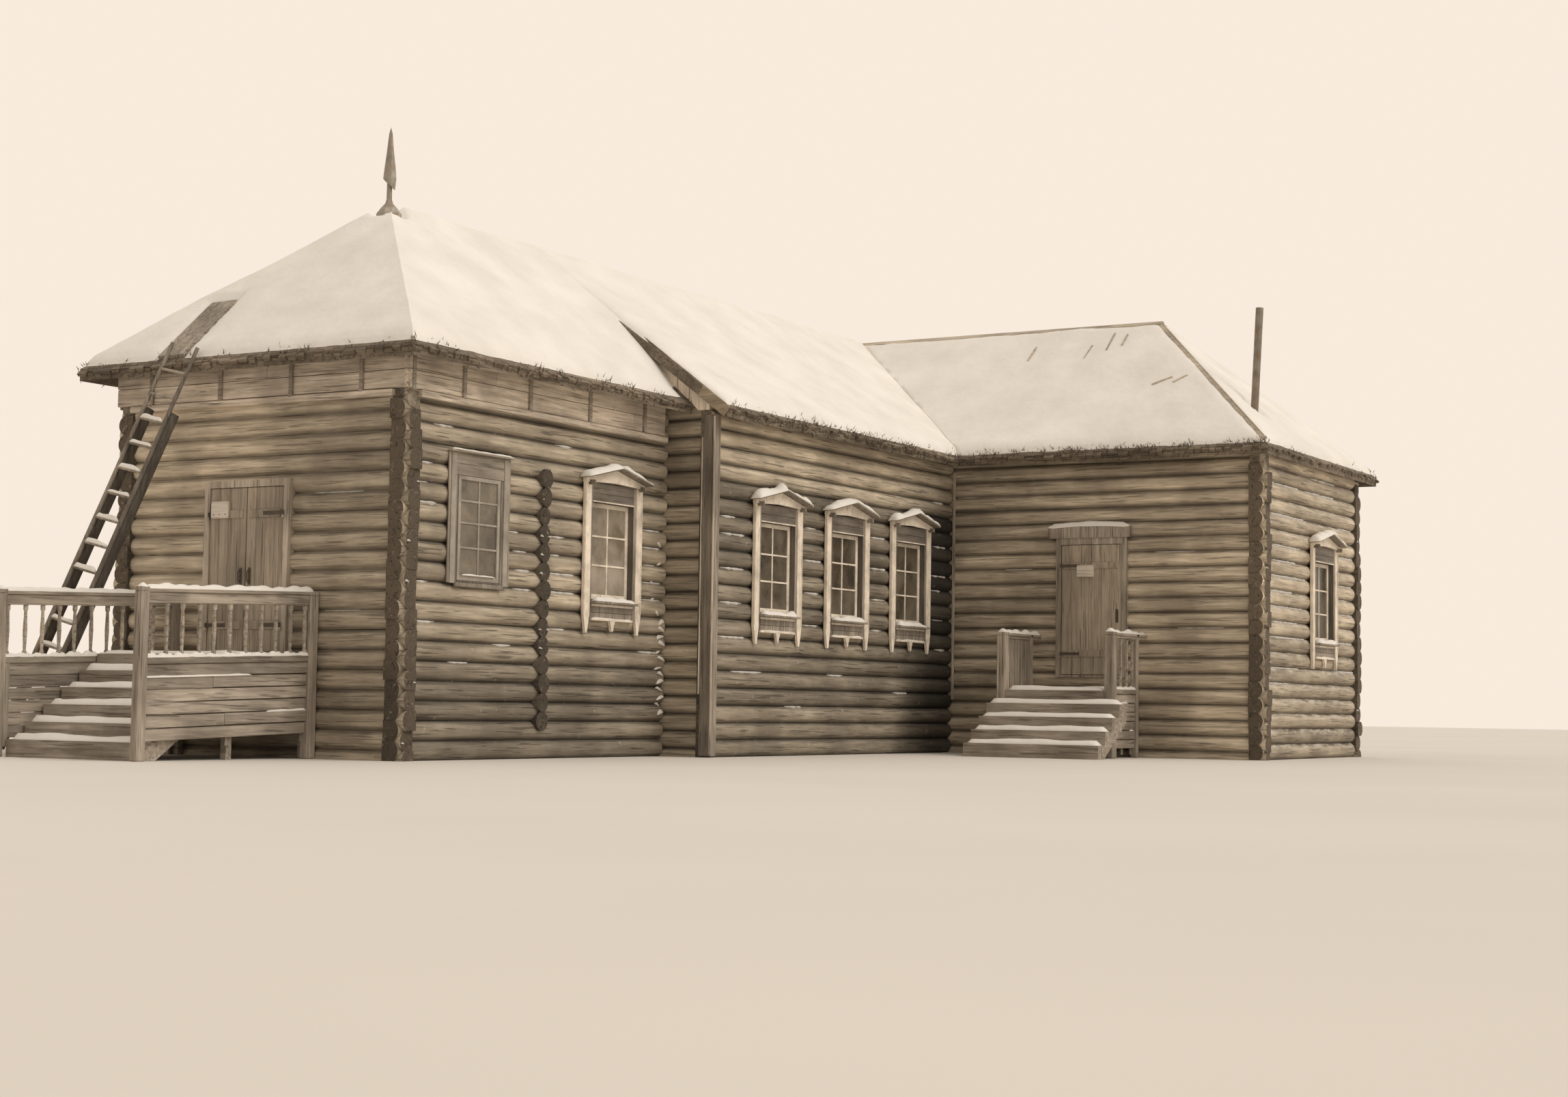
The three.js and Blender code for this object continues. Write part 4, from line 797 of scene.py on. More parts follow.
def gable_drift(p, body):
    """Depth of the west block's snow by the gable: blown up against it, thin at the eave corner."""
    share = 1 - (X1 - p.x) / 0.7
    if share <= 0:
        return body
    rise = min(p.y, WEST_WIDTH - p.y)
    marks = ((-0.4, -0.03), (-0.15, -0.02), (0.02, 0.05), (0.2, 0.13), (0.45, 0.185), (0.84, 0.25),
             (1.3, 0.21), (MID_Y, 0.11))
    want = marks[0][1]
    for (r0, d0), (r1, d1) in zip(marks, marks[1:]):
        if r0 <= rise <= r1:
            want = d0 + (d1 - d0) * (rise - r0) / (r1 - r0)
    share = share * share * (3 - 2 * share)
    return body + (want - body) * share


def blanket(m, grid, under):
    """Snow from rows of (point, height over it), closed at its rim and a little under the points."""
    ids = [[m.point(p + AXIS_Z * high) for p, high in row] for row in grid]
    for near, far in zip(ids, ids[1:]):
        for q in range(len(near) - 1):
            m.face((near[q], near[q + 1], far[q + 1], far[q]))

    def rim(rows):
        return rows[0] + [row[-1] for row in rows[1:]] + rows[-1][-2::-1] + [row[0] for row in rows[-2:0:-1]]

    top = rim(ids)
    low = [m.point(entry[0] - AXIS_Z * under) for entry in rim(grid)]
    for i in range(len(top)):
        j = (i + 1) % len(top)
        m.face((top[j], top[i], low[i], low[j]))
    m.face(low, 0, True)


def spread(count, length, first, last):
    """Even steps from 0 to 1, with closer ones at the ends where the snow thins out."""
    at = [i / count for i in range(count + 1)]
    steps = [0.012 / length, 0.035 / length, 0.075 / length]
    if first:
        at += steps
    if last:
        at += [1 - s for s in steps]
    return sorted(set(round(x, 5) for x in at))


def snow_sheet(m, corners, open_sides, drift=None, cell=0.11):
    """Snow on one roof plane. corners: left eave, right eave, right ridge, left ridge, in order.
    open_sides: the sides (0 eave, 1 right, 2 ridge, 3 left) at which the snow thins out to nothing."""
    a, b, c, d = (Vector(p) for p in corners)
    high = max((d - a).length, (c - b).length)
    wide = max((b - a).length, (c - d).length)
    ts = spread(max(6, int(high / cell)), high, 0 in open_sides, 2 in open_sides)
    ss = spread(max(6, int(wide / cell)), wide, 3 in open_sides, 1 in open_sides)
    sides = [(a, b), (b, c), (c, d), (d, a)]

    def depth_at(p):
        near = 9.0
        for p0, p1 in (sides[i] for i in open_sides):
            run = p1 - p0
            along = unit((p - p0).dot(run) / run.length_squared) if run.length >= 0.01 else 0.0
            near = min(near, (p - p0 - run * along).length)
        rag = 0.03 + 0.03 * noise.noise(p * 3.1) + 0.02 * noise.noise(p * 11.0)
        edge = unit((near - rag * 0.6) / 0.13)
        body = ROOF_SNOW * (1 + 0.28 * noise.noise(p * 0.8) + 0.1 * noise.noise(p * 3.5))
        if drift:
            body = drift(p, body)
        share = bare_share(p)
        return body * math.sqrt(edge) * share - 0.02 * (1 - min(edge * 6, share))

    grid = [[a.lerp(b, s).lerp(d.lerp(c, s), t) for s in ss] for t in ts]
    blanket(m, [[(p, depth_at(p)) for p in row] for row in grid], 0.035)


def roof_snow(name, sheets):
    """sheets: each its open sides, its corners and any other values that snow_sheet takes."""
    m = Maker()
    for open_sides, corners, *others in sheets:
        snow_sheet(m, corners, open_sides, *others)
    m.snow_piece(name)


# Snow edges: s, n, w and e for the sides, z for the height, in a little from each eave
west_s, west_n = -OVERHANG + SNOW_INSET, WEST_EAVE_N - SNOW_INSET
west_e, west_z = X1 - 0.01, WEST_EAVE_Z + SNOW_INSET * WEST_SLOPE
apex = (MID_Y, MID_Y, RIDGE_Z)
ridge_end = (west_e, MID_Y, RIDGE_Z)
near_corner, far_corner = (west_s, west_s, west_z), (west_s, west_n, west_z)
roof_snow("west_block_roof_snow", [
    ((0,), (near_corner, (west_e, west_s, west_z), ridge_end, apex), gable_drift),
    ((0,), ((west_e, west_n, west_z), far_corner, apex, ridge_end), gable_drift),
    ((0,), (far_corner, near_corner, apex, apex), None, 0.08)])

nave_s, nave_n = NAVE_EAVE_S + SNOW_INSET, NAVE_EAVE_N - SNOW_INSET
nave_w, nave_z = X1 - NAVE_VERGE + 0.02, EAVE_Z + SNOW_INSET * NAVE_SLOPE
step_s, step_n = -OVERHANG - 0.05, WEST_EAVE_N + 0.05
step_z = EAVE_Z + (step_s - NAVE_EAVE_S) * NAVE_SLOPE
step_e = WING_EAVE_W + (WING_RIDGE_X - WING_EAVE_W) * (step_s - nave_s) / (MID_Y - nave_s)
tee, nave_top = (WING_RIDGE_X, MID_Y, RIDGE_Z), (nave_w, MID_Y, RIDGE_Z)
step_sw, step_se = (nave_w, step_s, step_z), (step_e, step_s, step_z)
step_nw, step_ne = (nave_w, step_n, step_z), (step_e, step_n, step_z)
roof_snow("nave_roof_snow", [
    ((0, 3), ((nave_w, nave_s, nave_z), (WING_EAVE_W, nave_s, nave_z), step_se, step_sw)),
    ((3,), (step_sw, step_se, tee, nave_top)),
    ((0, 1), ((WING_EAVE_W, nave_n, nave_z), (nave_w, nave_n, nave_z), step_nw, step_ne)),
    ((1,), (step_ne, step_nw, nave_top, tee))])

wing_w, wing_e = WING_EAVE_W + SNOW_INSET, WING_EAVE_E - SNOW_INSET
wing_s, wing_n = WING_EAVE_S + SNOW_INSET, WING_EAVE_N - SNOW_INSET
wing_z = EAVE_Z + SNOW_INSET * WING_SLOPE
ridge_s = (WING_RIDGE_X, WING_EAVE_S + WING_RUN, RIDGE_Z)
ridge_n = (WING_RIDGE_X, WING_EAVE_N - WING_RUN, RIDGE_Z)
wing_sw, wing_se = (wing_w, wing_s, wing_z), (wing_e, wing_s, wing_z)
wing_nw, wing_ne = (wing_w, wing_n, wing_z), (wing_e, wing_n, wing_z)
roof_snow("wing_roof_snow", [
    ((0, 1, 3), (wing_sw, wing_se, ridge_s, ridge_s)), ((0, 1, 3), (wing_ne, wing_nw, ridge_n, ridge_n)),
    ((0, 1, 2, 3), (wing_se, wing_ne, ridge_n, ridge_s)),
    ((0, 1, 2), ((wing_w, nave_s, wing_z), wing_sw, ridge_s, tee)),
    ((0, 2, 3), (wing_nw, (wing_w, nave_n, wing_z), tee, ridge_n))])


# Boards on hips and ridge, bare slats, rough eaves
trim = Maker()
for y in (-OVERHANG, WEST_EAVE_N):
    corner = Vector((-OVERHANG, y, WEST_EAVE_Z))
    way = Vector(apex) - corner
    trim.beam(corner + way * 0.02, corner + way * 0.07, 0.05, 0.05, 0.4)
for y, top in ((WING_EAVE_S, ridge_s), (WING_EAVE_N, ridge_n)):
    for x in (WING_EAVE_W, WING_EAVE_E):
        corner = Vector((x, y, EAVE_Z))
        way = Vector(top) - corner
        side = AXIS_Z.cross(way).normalized()
        for sign in (-1, 1):
            off = side * (sign * 0.026) + AXIS_Z * 0.022
            trim.beam(corner + way * 0.03 + off, Vector(top) + off, 0.056, 0.045, 0.5,
                      up=AXIS_Z + side * (sign * 0.6))
for sign in (-1, 1):
    joints = (ridge_s[1] - 0.05, 1.2, 6.0, ridge_n[1] + 0.05)
    run = [(WING_RIDGE_X + sign * 0.045, y, RIDGE_Z + 0.03) for y in joints]
    for p, q in zip(run, run[1:]):
        trim.beam(p, q, 0.1, 0.03, uniform(0.35, 0.6), up=(sign * 0.8, 0, 1))
trim.piece("hip_and_ridge_boards", ["hip"], slot="roof_boards")

slats = Maker()
wing_up = Vector((-WING_SLOPE, 0, 1)).normalized()
for p, q, wide in (((15.74, -1.40), (15.39, -1.39), 0.026), ((15.68, -2.51), (15.33, -2.48), 0.03),
                   ((15.96, -2.82), (15.53, -2.83), 0.03), ((15.9, -3.08), (15.63, -3.08), 0.026),
                   ((14.60, -4.05), (14.76, -4.36), 0.04), ((14.63, -4.42), (14.78, -4.62), 0.045)):
    ends = [Vector((x, y, EAVE_Z + (x - WING_EAVE_W) * WING_SLOPE + 0.1)) for x, y in (p, q)]
    slats.beam(ends[0], ends[1], wide, 0.03, 0.45, up=wing_up, chamfer=0.01)
slats.piece("bare_roof_slats", ["hip"], slot="roof_boards")

# Each eave: from, to, outward, height, slope, how much straw shows
EAVES = [
    ((-OVERHANG, -OVERHANG), (X1 - 0.02, -OVERHANG), (0, -1), WEST_EAVE_Z, WEST_SLOPE, 0.35),
    ((-OVERHANG, WEST_EAVE_N), (-OVERHANG, -OVERHANG), (-1, 0), WEST_EAVE_Z, WEST_SLOPE, 0.35),
    ((X1 - 0.02, WEST_EAVE_N), (-OVERHANG, WEST_EAVE_N), (0, 1), WEST_EAVE_Z, WEST_SLOPE, 0.35),
    ((X1 - NAVE_VERGE, NAVE_EAVE_S), (WING_EAVE_W, NAVE_EAVE_S), (0, -1), EAVE_Z, NAVE_SLOPE, 0.9),
    ((WING_EAVE_W, NAVE_EAVE_N), (X1 - NAVE_VERGE, NAVE_EAVE_N), (0, 1), EAVE_Z, NAVE_SLOPE, 0.9),
    ((WING_EAVE_W, NAVE_EAVE_S), (WING_EAVE_W, WING_EAVE_S), (-1, 0), EAVE_Z, WING_SLOPE, 2.2),
    ((WING_EAVE_W, WING_EAVE_N), (WING_EAVE_W, NAVE_EAVE_N), (-1, 0), EAVE_Z, WING_SLOPE, 2.2),
    ((WING_EAVE_W, WING_EAVE_S), (WING_EAVE_E, WING_EAVE_S), (0, -1), EAVE_Z, WING_SLOPE, 0.1),
    ((WING_EAVE_E, WING_EAVE_S), (WING_EAVE_E, WING_EAVE_N), (1, 0), EAVE_Z, WING_SLOPE, 0.5),
    ((WING_EAVE_E, WING_EAVE_N), (WING_EAVE_W, WING_EAVE_N), (0, 1), EAVE_Z, WING_SLOPE, 0.1),
]


def rough_eaves():
    """Board ends of uneven reach along each eave, with straw and bark standing out between them."""
    boards, straw = Maker(), Maker()
    for p, q, out, z, slope, dense in EAVES:
        p, q, out = Vector((*p, 0)), Vector((*q, 0)), Vector((*out, 0))
        run = q - p
        way = run.normalized()
        at = 0.0
        while at < run.length - 0.03:
            wide = min(uniform(0.1, 0.2), run.length - at)
            reach = uniform(0.0, 0.055)
            drop = uniform(0.0, 0.02)
            mid = p + way * (at + wide / 2)
            inward = min(0.3, max(0.03, min(at, run.length - at - wide) * 0.9))
            start, end = mid - out * inward, mid + out * reach
            start.z, end.z = z + inward * slope - 0.03 - drop, z - reach * slope - 0.03 - drop
            boards.beam(start, end, wide - 0.008, 0.05, up=out * slope + AXIS_Z)
            under = mid + out * uniform(-0.02, 0.02)
            inward = min(0.2, inward)
            first = under - out * inward
            first.z, under.z = z + inward * slope - 0.11, z - 0.11
            boards.beam(first, under, wide * 0.8, 0.085, up=out * slope + AXIS_Z)
            at += wide
        clump = 0.0
        for i in range(int(run.length * 60 * dense)):
            if i % 6 == 0:
                clump = random.random()
            s = unit(clump + random.gauss(0, 0.05) / run.length)
            back = uniform(-0.05, 0.1)
            root = p + run * s - out * back
            root.z = z + back * slope + uniform(-0.03, 0.03)
            lean = out * uniform(-0.2, 0.9) + way * random.gauss(0, 0.55)
            tall = uniform(0.02, 0.07) if i % 9 else uniform(0.07, 0.13)
            tip = root + (lean + AXIS_Z * uniform(0.5, 1.1)).normalized() * tall
            straw.blade(root, tip, uniform(0.008, 0.02), random.random())
        for i in range(int(run.length * 45 * min(1.0, dense))):
            root = p + run * random.random() + out * uniform(-0.02, 0.03)
            root.z = z - uniform(0.0, 0.15)
            lean = out * uniform(0.2, 1.0) + way * random.gauss(0, 0.7)
            way_down = (lean - AXIS_Z * uniform(0.4, 1.4)).normalized()
            tip = root + way_down * uniform(0.04, 0.1)
            straw.blade(root, tip, uniform(0.01, 0.022), random.random())
    boards.piece("eave_board_ends", ["ridge"], slot="roof_boards")
    straw.piece("eave_straw", ["straw"], slot="roof_boards", smooth=0)


rough_eaves()


# Snow lying in the joints between logs
def snow_dash(m, u0, u1, joint, thick):
    """A streak of snow along one joint, tapering out at both ends."""
    count = max(5, int((u1 - u0) / 0.04))
    seed = uniform(0, 50)
    rings = []
    for i in range(count + 1):
        s = i / count
        u = u0 + (u1 - u0) * s
        full = min(1.0, min(s, 1 - s) * (u1 - u0) / 0.12 + 0.05)
        t = thick * full * max(0.25, 1 + 1.3 * jitter(u * 9, seed, 1.0))
        low, high = joint - 0.012 - t, joint + 0.003
        ring = []
        for j in range(5):
            z = low + (high - low) * j / 4
            ring.append((u, log_face(z - (joint - HALF_COURSE)) + 0.01, z))
        for j, share in ((3, 0.8), (2, 1.0), (1, 0.7)):
            v, z = ring[j][1:]
            ring.append((u, v - t * share - 0.01, z + t * 0.5 * share))
        rings.append(ring)
    m.loft(rings)


# Each wall: its y, then from, to and height of each joint
DASHES = {
    "west_south": (0.0, [
        (0.23, 0.60, 3.75), (0.27, 0.69, 3.25), (0.3, 0.5, 3.5), (2.13, 2.42, 3.0), (3.02, 3.46, 3.0),
        (3.05, 3.35, 2.75), (5.33, 5.82, 3.25), (5.33, 5.83, 3.0), (5.36, 5.85, 2.5), (5.36, 5.86, 2.25),
        (5.4, 5.7, 2.75), (2.35, 2.7, 2.5), (3.05, 3.7, 2.5), (2.32, 2.72, 2.25), (3.1, 3.72, 2.25),
        (2.3, 2.6, 2.75), (0.28, 0.55, 2.25), (0.3, 0.7, 1.75), (1.9, 2.3, 1.5),
        (0.6, 1.0, 4.25), (3.2, 3.6, 4.25), (5.3, 5.8, 1.5), (1.0, 1.4, 1.25), (3.1, 3.5, 1.75),
    ]),
    "nave_south": (NAVE_SOUTH, [
        (6.2, 6.88, 3.25), (6.2, 6.86, 2.75), (6.15, 6.9, 1.75), (8.6, 9.18, 3.0), (10.76, 11.28, 3.5),
        (10.76, 11.3, 3.0), (10.8, 11.3, 2.5), (12.93, 13.5, 3.0), (12.93, 13.3, 2.75), (13.0, 13.4, 4.25),
        (6.54, 7.41, 1.25), (6.2, 6.6, 3.5), (6.2, 6.8, 2.25), (8.65, 9.1, 2.5), (8.65, 9.0, 3.5),
        (8.6, 9.1, 2.0), (10.8, 11.2, 2.0), (13.0, 13.4, 2.25), (13.1, 13.5, 1.75), (9.4, 9.9, 1.25),
        (8.1, 8.6, 0.75), (11.6, 12.1, 1.0), (13.0, 13.5, 3.5),
    ]),
    "wing_south": (WING_SOUTH, [
        (14.0, 15.6, 4.5), (14.1, 15.8, 4.0), (14.0, 15.7, 3.5), (14.1, 15.9, 3.0), (14.0, 15.8, 2.5),
        (14.1, 15.9, 2.0), (14.0, 15.6, 1.5), (17.7, 18.5, 4.0), (17.7, 18.6, 3.5), (17.65, 18.5, 3.0),
        (17.7, 18.6, 2.5), (17.7, 18.5, 2.0), (17.6, 18.6, 1.5), (15.9, 17.5, 4.5), (14.2, 15.4, 3.25),
        (14.1, 15.2, 2.75), (14.2, 15.5, 2.25), (14.0, 15.0, 1.25), (16.2, 17.6, 4.75), (17.8, 18.3, 2.75),
    ]),
}
for key, (wall_y, dashes) in DASHES.items():
    m = Maker(FACE_SOUTH, (0, wall_y, 0))
    for a, b, z in dashes:
        snow_dash(m, a, b, z, uniform(0.016, 0.028))
    m.snow_piece(key + "_joint_snow", "joint_snow")

# The same on the walls that look west: x and y of each wall's left end, then its joints
WEST_DASHES = (
    (X2, front_top, ((0.3, 0.7, 4.375), (3.9, 4.6, 3.375), (4.3, 5.1, 2.125), (1.2, 1.7, 3.125))),
    (0, WEST_WIDTH, ((3.4, 4.2, 3.375), (3.6, 4.2, 1.875))))
front_snow = Maker()
for x, y, dashes in WEST_DASHES:
    front_snow.aim(FACE_WEST, (x, y, 0))
    for a, b, z in dashes:
        snow_dash(front_snow, a, b, z, uniform(0.006, 0.01))
front_snow.snow_piece("west_faces_joint_snow", "joint_snow")


def corner_flecks():
    """Broken, slanting flecks of snow where the nave's return wall meets the west block."""
    m = Maker()
    z, sign = 0.62, 1
    while z < 3.3:
        wide = uniform(0.11, 0.18) if z < 1.95 else uniform(0.05, 0.09)
        x = X1 - 0.1 - (0 if z < 1.95 else uniform(0.0, 0.2))
        y = log_face(z % COURSE - HALF_COURSE) - 0.004
        lean = sign * uniform(0.015, 0.03)
        m.drift(x - wide / 2, x + wide / 2, y, z - lean, 0.05, 0.042, 0.02, 0.5, z, z + lean)
        z += uniform(0.08, 0.14) if z < 1.95 else uniform(0.2, 0.3)
        sign = -sign
    m.snow_piece("corner_snow_flecks")


corner_flecks()


def stack_snow():
    """Small tufts of snow on the log ends at the corners and at the cross wall."""
    m = Maker()
    for x, y, z0, z1 in ((0.12, -0.03, 0.25, 4.4), (CROSS_X, -0.03, 1.0, 3.6),
                         (X2 + 0.12, WING_SOUTH - 0.03, 0.6, 4.6), (X3 - 0.12, WING_SOUTH - 0.03, 0.6, 4.6)):
        z = z0
        while z < z1:
            if random.random() < 0.4:
                for sign in (-1, 1):
                    if random.random() < 0.4:
                        w = uniform(0.015, 0.03)
                        base = Vector((x + sign * 0.085, y + uniform(-0.01, 0.01), z - 0.03))
                        m.heap(base - AXIS_Y * w, base + AXIS_Y * w, AXIS_X, 0.05, 0.025, step=0.02, seed=z)
            z += COURSE
    m.snow_piece("log_end_snow", "joint_snow")


stack_snow()


# Frieze boards under the west block's eaves: each row's bottom, top and front
FRIEZE_ROWS = ((4.63, 4.86, -0.035), (4.865, 5.09, -0.04), (5.095, 5.25, -0.035))


def frieze(m, face, origin, length, battens, ledge):
    """battens: where upright strips cross the boards; ledge: ends of the strip under them."""
    m.aim(face, (*origin, 0))
    for z0, z1, reach in FRIEZE_ROWS:
        at = -0.06
        while at < length + 0.05:
            end = min(at + uniform(1.6, 2.8), length + 0.06)
            if length + 0.06 - end < 0.5:
                end = length + 0.06
            low = z0 + uniform(0, 0.006)
            m.bar((at, reach, low), (end - 0.004, 0.02, z1), uniform(1.25, 1.65))
            at = end
    m.bar((ledge[0], -0.07, 4.535), (ledge[1], 0.02, 4.62), 1.4, chamfer=0.01)
    for u in battens:
        m.bar((u - 0.03, -0.07, 4.6), (u + 0.03, -0.03, 5.24), 0.5)


south_frieze, front_frieze = Maker(), Maker()
frieze(south_frieze, FACE_SOUTH, (0, 0), X1 - 0.2, (0.05, 1.06, 2.47, 3.85, 5.2), (0.2, X1 - 0.1))
frieze(south_frieze, FACE_NORTH, (X1, WEST_WIDTH), X1 - 0.1, (0.75, 2.05, 3.43, 4.84, 5.85), (0.1, X1 - 0.2))
south_frieze.piece("side_frieze_boards", ["board_x"], slot="weathered_boards")
frieze(front_frieze, FACE_WEST, (0, WEST_WIDTH), WEST_WIDTH,
       (WEST_WIDTH - 4.33, WEST_WIDTH - 3.1, WEST_WIDTH - 1.88, WEST_WIDTH - 0.71), (0.2, WEST_WIDTH - 0.2))
front_frieze.piece("west_frieze_boards", ["board_y"], slot="weathered_boards")

# Corner boards: along x from the nave's wall face, outward in y, heights, tone
CORNER_BOARDS = (
    (-0.045, 0.11, -0.035, -0.004, 0.02, 4.93, 0.35), (-0.04, -0.006, -0.002, 0.17, 0.02, 4.93, 0.1),
    (-0.05, -0.006, 0.174, 0.192, 0.9, 4.6, 1.2), (-0.056, -0.04, -0.037, -0.012, 0.05, 4.9, 1.3))
corner_boards = Maker()
for y, sign in ((NAVE_SOUTH, 1), (NAVE_NORTH, -1)):
    for x0, x1, y0, y1, z0, z1, tone in CORNER_BOARDS:
        corner_boards.bar((X1 + x0, y + sign * y0, z0), (X1 + x1, y + sign * y1, z1), tone)
    corner_boards.bar((X2 - 0.04, y - sign * 0.05, 0.9), (X2 - 0.004, y - sign * 0.004, 4.8), 0.9)
corner_boards.piece("corner_boards", ["board_z"], slot="weathered_boards")


# Gable boards over the west block's roof and the nave's verge boards
def gable_edge(y):
    """The underside of the nave's roof at y, and the west block's roof or eave below it."""
    rise = min(y, WEST_WIDTH - y)
    nave = EAVE_Z + (rise + NAVE_STEP + NAVE_OVERHANG) * NAVE_SLOPE - ROOF_DEPTH
    return nave, (WEST_EAVE_Z + (rise + OVERHANG) * WEST_SLOPE if -OVERHANG < y < WEST_EAVE_N else 5.0)


def gable_boards():
    m = Maker()
    y, last = -0.72, 5.64
    while y < last:
        y1 = min(y + uniform(0.15, 0.21), last)
        a, b = y + 0.004, y1 - 0.004
        (n0, w0), (n1, w1) = gable_edge(a), gable_edge(b)
        if n0 - w0 > 0.02 and n1 - w1 > 0.02:
            m.prism([(a, max(w0, 4.98)), (b, max(w1, 4.98)), (b, n1), (a, n0)], X1 - 0.022, X1 - 0.002,
                    uniform(0.9, 1.3), plane="yz")
        y = y1
    m.piece("gable_cover_boards", ["gable"], slot="weathered_boards")


gable_boards()

verge = Maker()
for sign, edge in ((1, NAVE_EAVE_S), (-1, NAVE_EAVE_N)):
    stop = 1.15 if sign > 0 else WEST_WIDTH - 1.15
    top = EAVE_Z + abs(stop - edge) * NAVE_SLOPE
    verge.beam((X1 - NAVE_VERGE - 0.012, edge, EAVE_Z - 0.08), (X1 - 0.03, stop, top - 0.06), 0.03, 0.17, 1.1,
               up=(0, -sign * NAVE_SLOPE, 1))
verge.piece("nave_verge_boards", ["ridge"], slot="roof_boards")


# Windows: joinery, panes and snow. u runs along the wall, v is depth from its face
PAINT, WOOD, PANE, BAND = 0, 1, 2, 3
OFF_WALL = -0.004


def sash(m, reach, z0, z1, face, stile, cross):
    """Stiles, rails and bars with a pane in each opening."""
    back, inner = face + 0.042, reach - stile
    low, high = z0 + stile + 0.012, z1 - stile
    m.twins(inner, reach, face, back, z0, z1, 0.62)
    m.span(inner, face + 0.002, back - 0.002, z0, low, 0.5)
    m.span(inner, face + 0.002, back - 0.002, high, z1, 0.55)
    m.span(0.013, face + 0.006, back - 0.008, low, high, 0.5, PAINT, 0.006)
    levels = [low] + [low + (high - low) * c for c in cross] + [high]
    for z in levels[1:-1]:
        m.span(inner, face + 0.007, back - 0.009, z - 0.013, z + 0.013, 0.5, PAINT, 0.006)
    for za, zb in zip(levels, levels[1:]):
        for sign in (-1, 1):
            pane = face + 0.02 + uniform(-0.0015, 0.0015)
            m.bar((sign * 0.008, pane, za - 0.008), (sign * (inner + 0.008), pane + 0.004, zb + 0.008),
                  0.5, PANE, 0.001)


def reveal(m, face, deep, half):
    """Boards that line a window's hole."""
    inner = half - 0.022
    m.twins(inner, half - 0.001, face, deep, SILL_Z + 0.002, HEAD_Z - 0.002, -0.1, WOOD)
    m.span(inner, face, deep, HEAD_Z - 0.024, HEAD_Z - 0.002, -0.15, WOOD)
    m.span(inner, face, deep, SILL_Z + 0.002, SILL_Z + 0.026, 0.0, WOOD)


# Boards of a window: half width or near and far edge, front, back, bottom, top, tone, material
HOODED_TWINS = [
    (0.505, 0.556, -0.034, OFF_WALL, 1.86, 3.735, 0.42, WOOD, 0.004),
    (0.678, 0.694, -0.056, -0.044, 1.95, 3.72, 0.8, PAINT, 0.004),
    (0.6, 0.64, -0.15, -0.05, 3.7, 3.765, 0.3, WOOD)]
HOODED_SPANS = [
    (0.504, -0.03, OFF_WALL, 3.47, 3.6, 0.05, BAND), (0.504, -0.027, OFF_WALL, 3.603, 3.745, 0.12, BAND),
    (0.504, -0.044, -0.028, 3.475, 3.492, 0.45, PAINT, 0.004), (0.535, -0.13, 0.04, 2.066, 2.1, 0.5, WOOD),
    (0.504, -0.04, OFF_WALL, 1.945, 2.064, 0.32, WOOD), (0.504, -0.034, OFF_WALL, 1.86, 1.942, 0.5, WOOD),
    (0.504, -0.052, -0.006, 1.832, 1.862, 0.75), (0.504, -0.05, -0.02, 2.03, 2.064, 0.55)]
PLAIN_TWINS = [
    (0.5, 0.6, -0.034, OFF_WALL, 2.085, 3.76, 0.6), (0.44, 0.497, -0.016, OFF_WALL, 2.09, 3.5, 0.2, WOOD),
    (0.602, 0.644, -0.022, OFF_WALL, 2.09, 3.76, 0.5, WOOD)]
PLAIN_SPANS = [
    (0.498, -0.026, OFF_WALL, 3.475, 3.62, 0.4, BAND), (0.498, -0.023, OFF_WALL, 3.623, 3.76, 0.35, BAND),
    (0.65, -0.08, -0.006, 3.765, 3.795, 0.7, BAND), (0.498, -0.05, OFF_WALL, 2.045, 2.1, 0.3, WOOD)]
CASING = [(0.558, 3.74), (0.558, 1.93), (0.574, 1.84), (0.596, 1.73), (0.612, 1.655), (0.644, 1.655),
          (0.66, 1.73), (0.684, 1.84), (0.7, 1.93), (0.7, 3.74)]
CROWN = [(-0.72, 3.735), (-0.3, 3.755), (0, 3.765), (0.3, 3.755), (0.72, 3.735), (0.72, 3.79), (0, 3.952),
         (-0.72, 3.79)]
BRACKET = [(-0.062, 1.834), (0.062, 1.834), (0.05, 1.79), (0.03, 1.76), (0.024, 1.71), (0, 1.685),
           (-0.024, 1.71), (-0.03, 1.76), (-0.05, 1.79)]


def window_boards(m, twins, spans):
    for values in twins:
        m.twins(*values)
    for values in spans:
        m.span(*values)


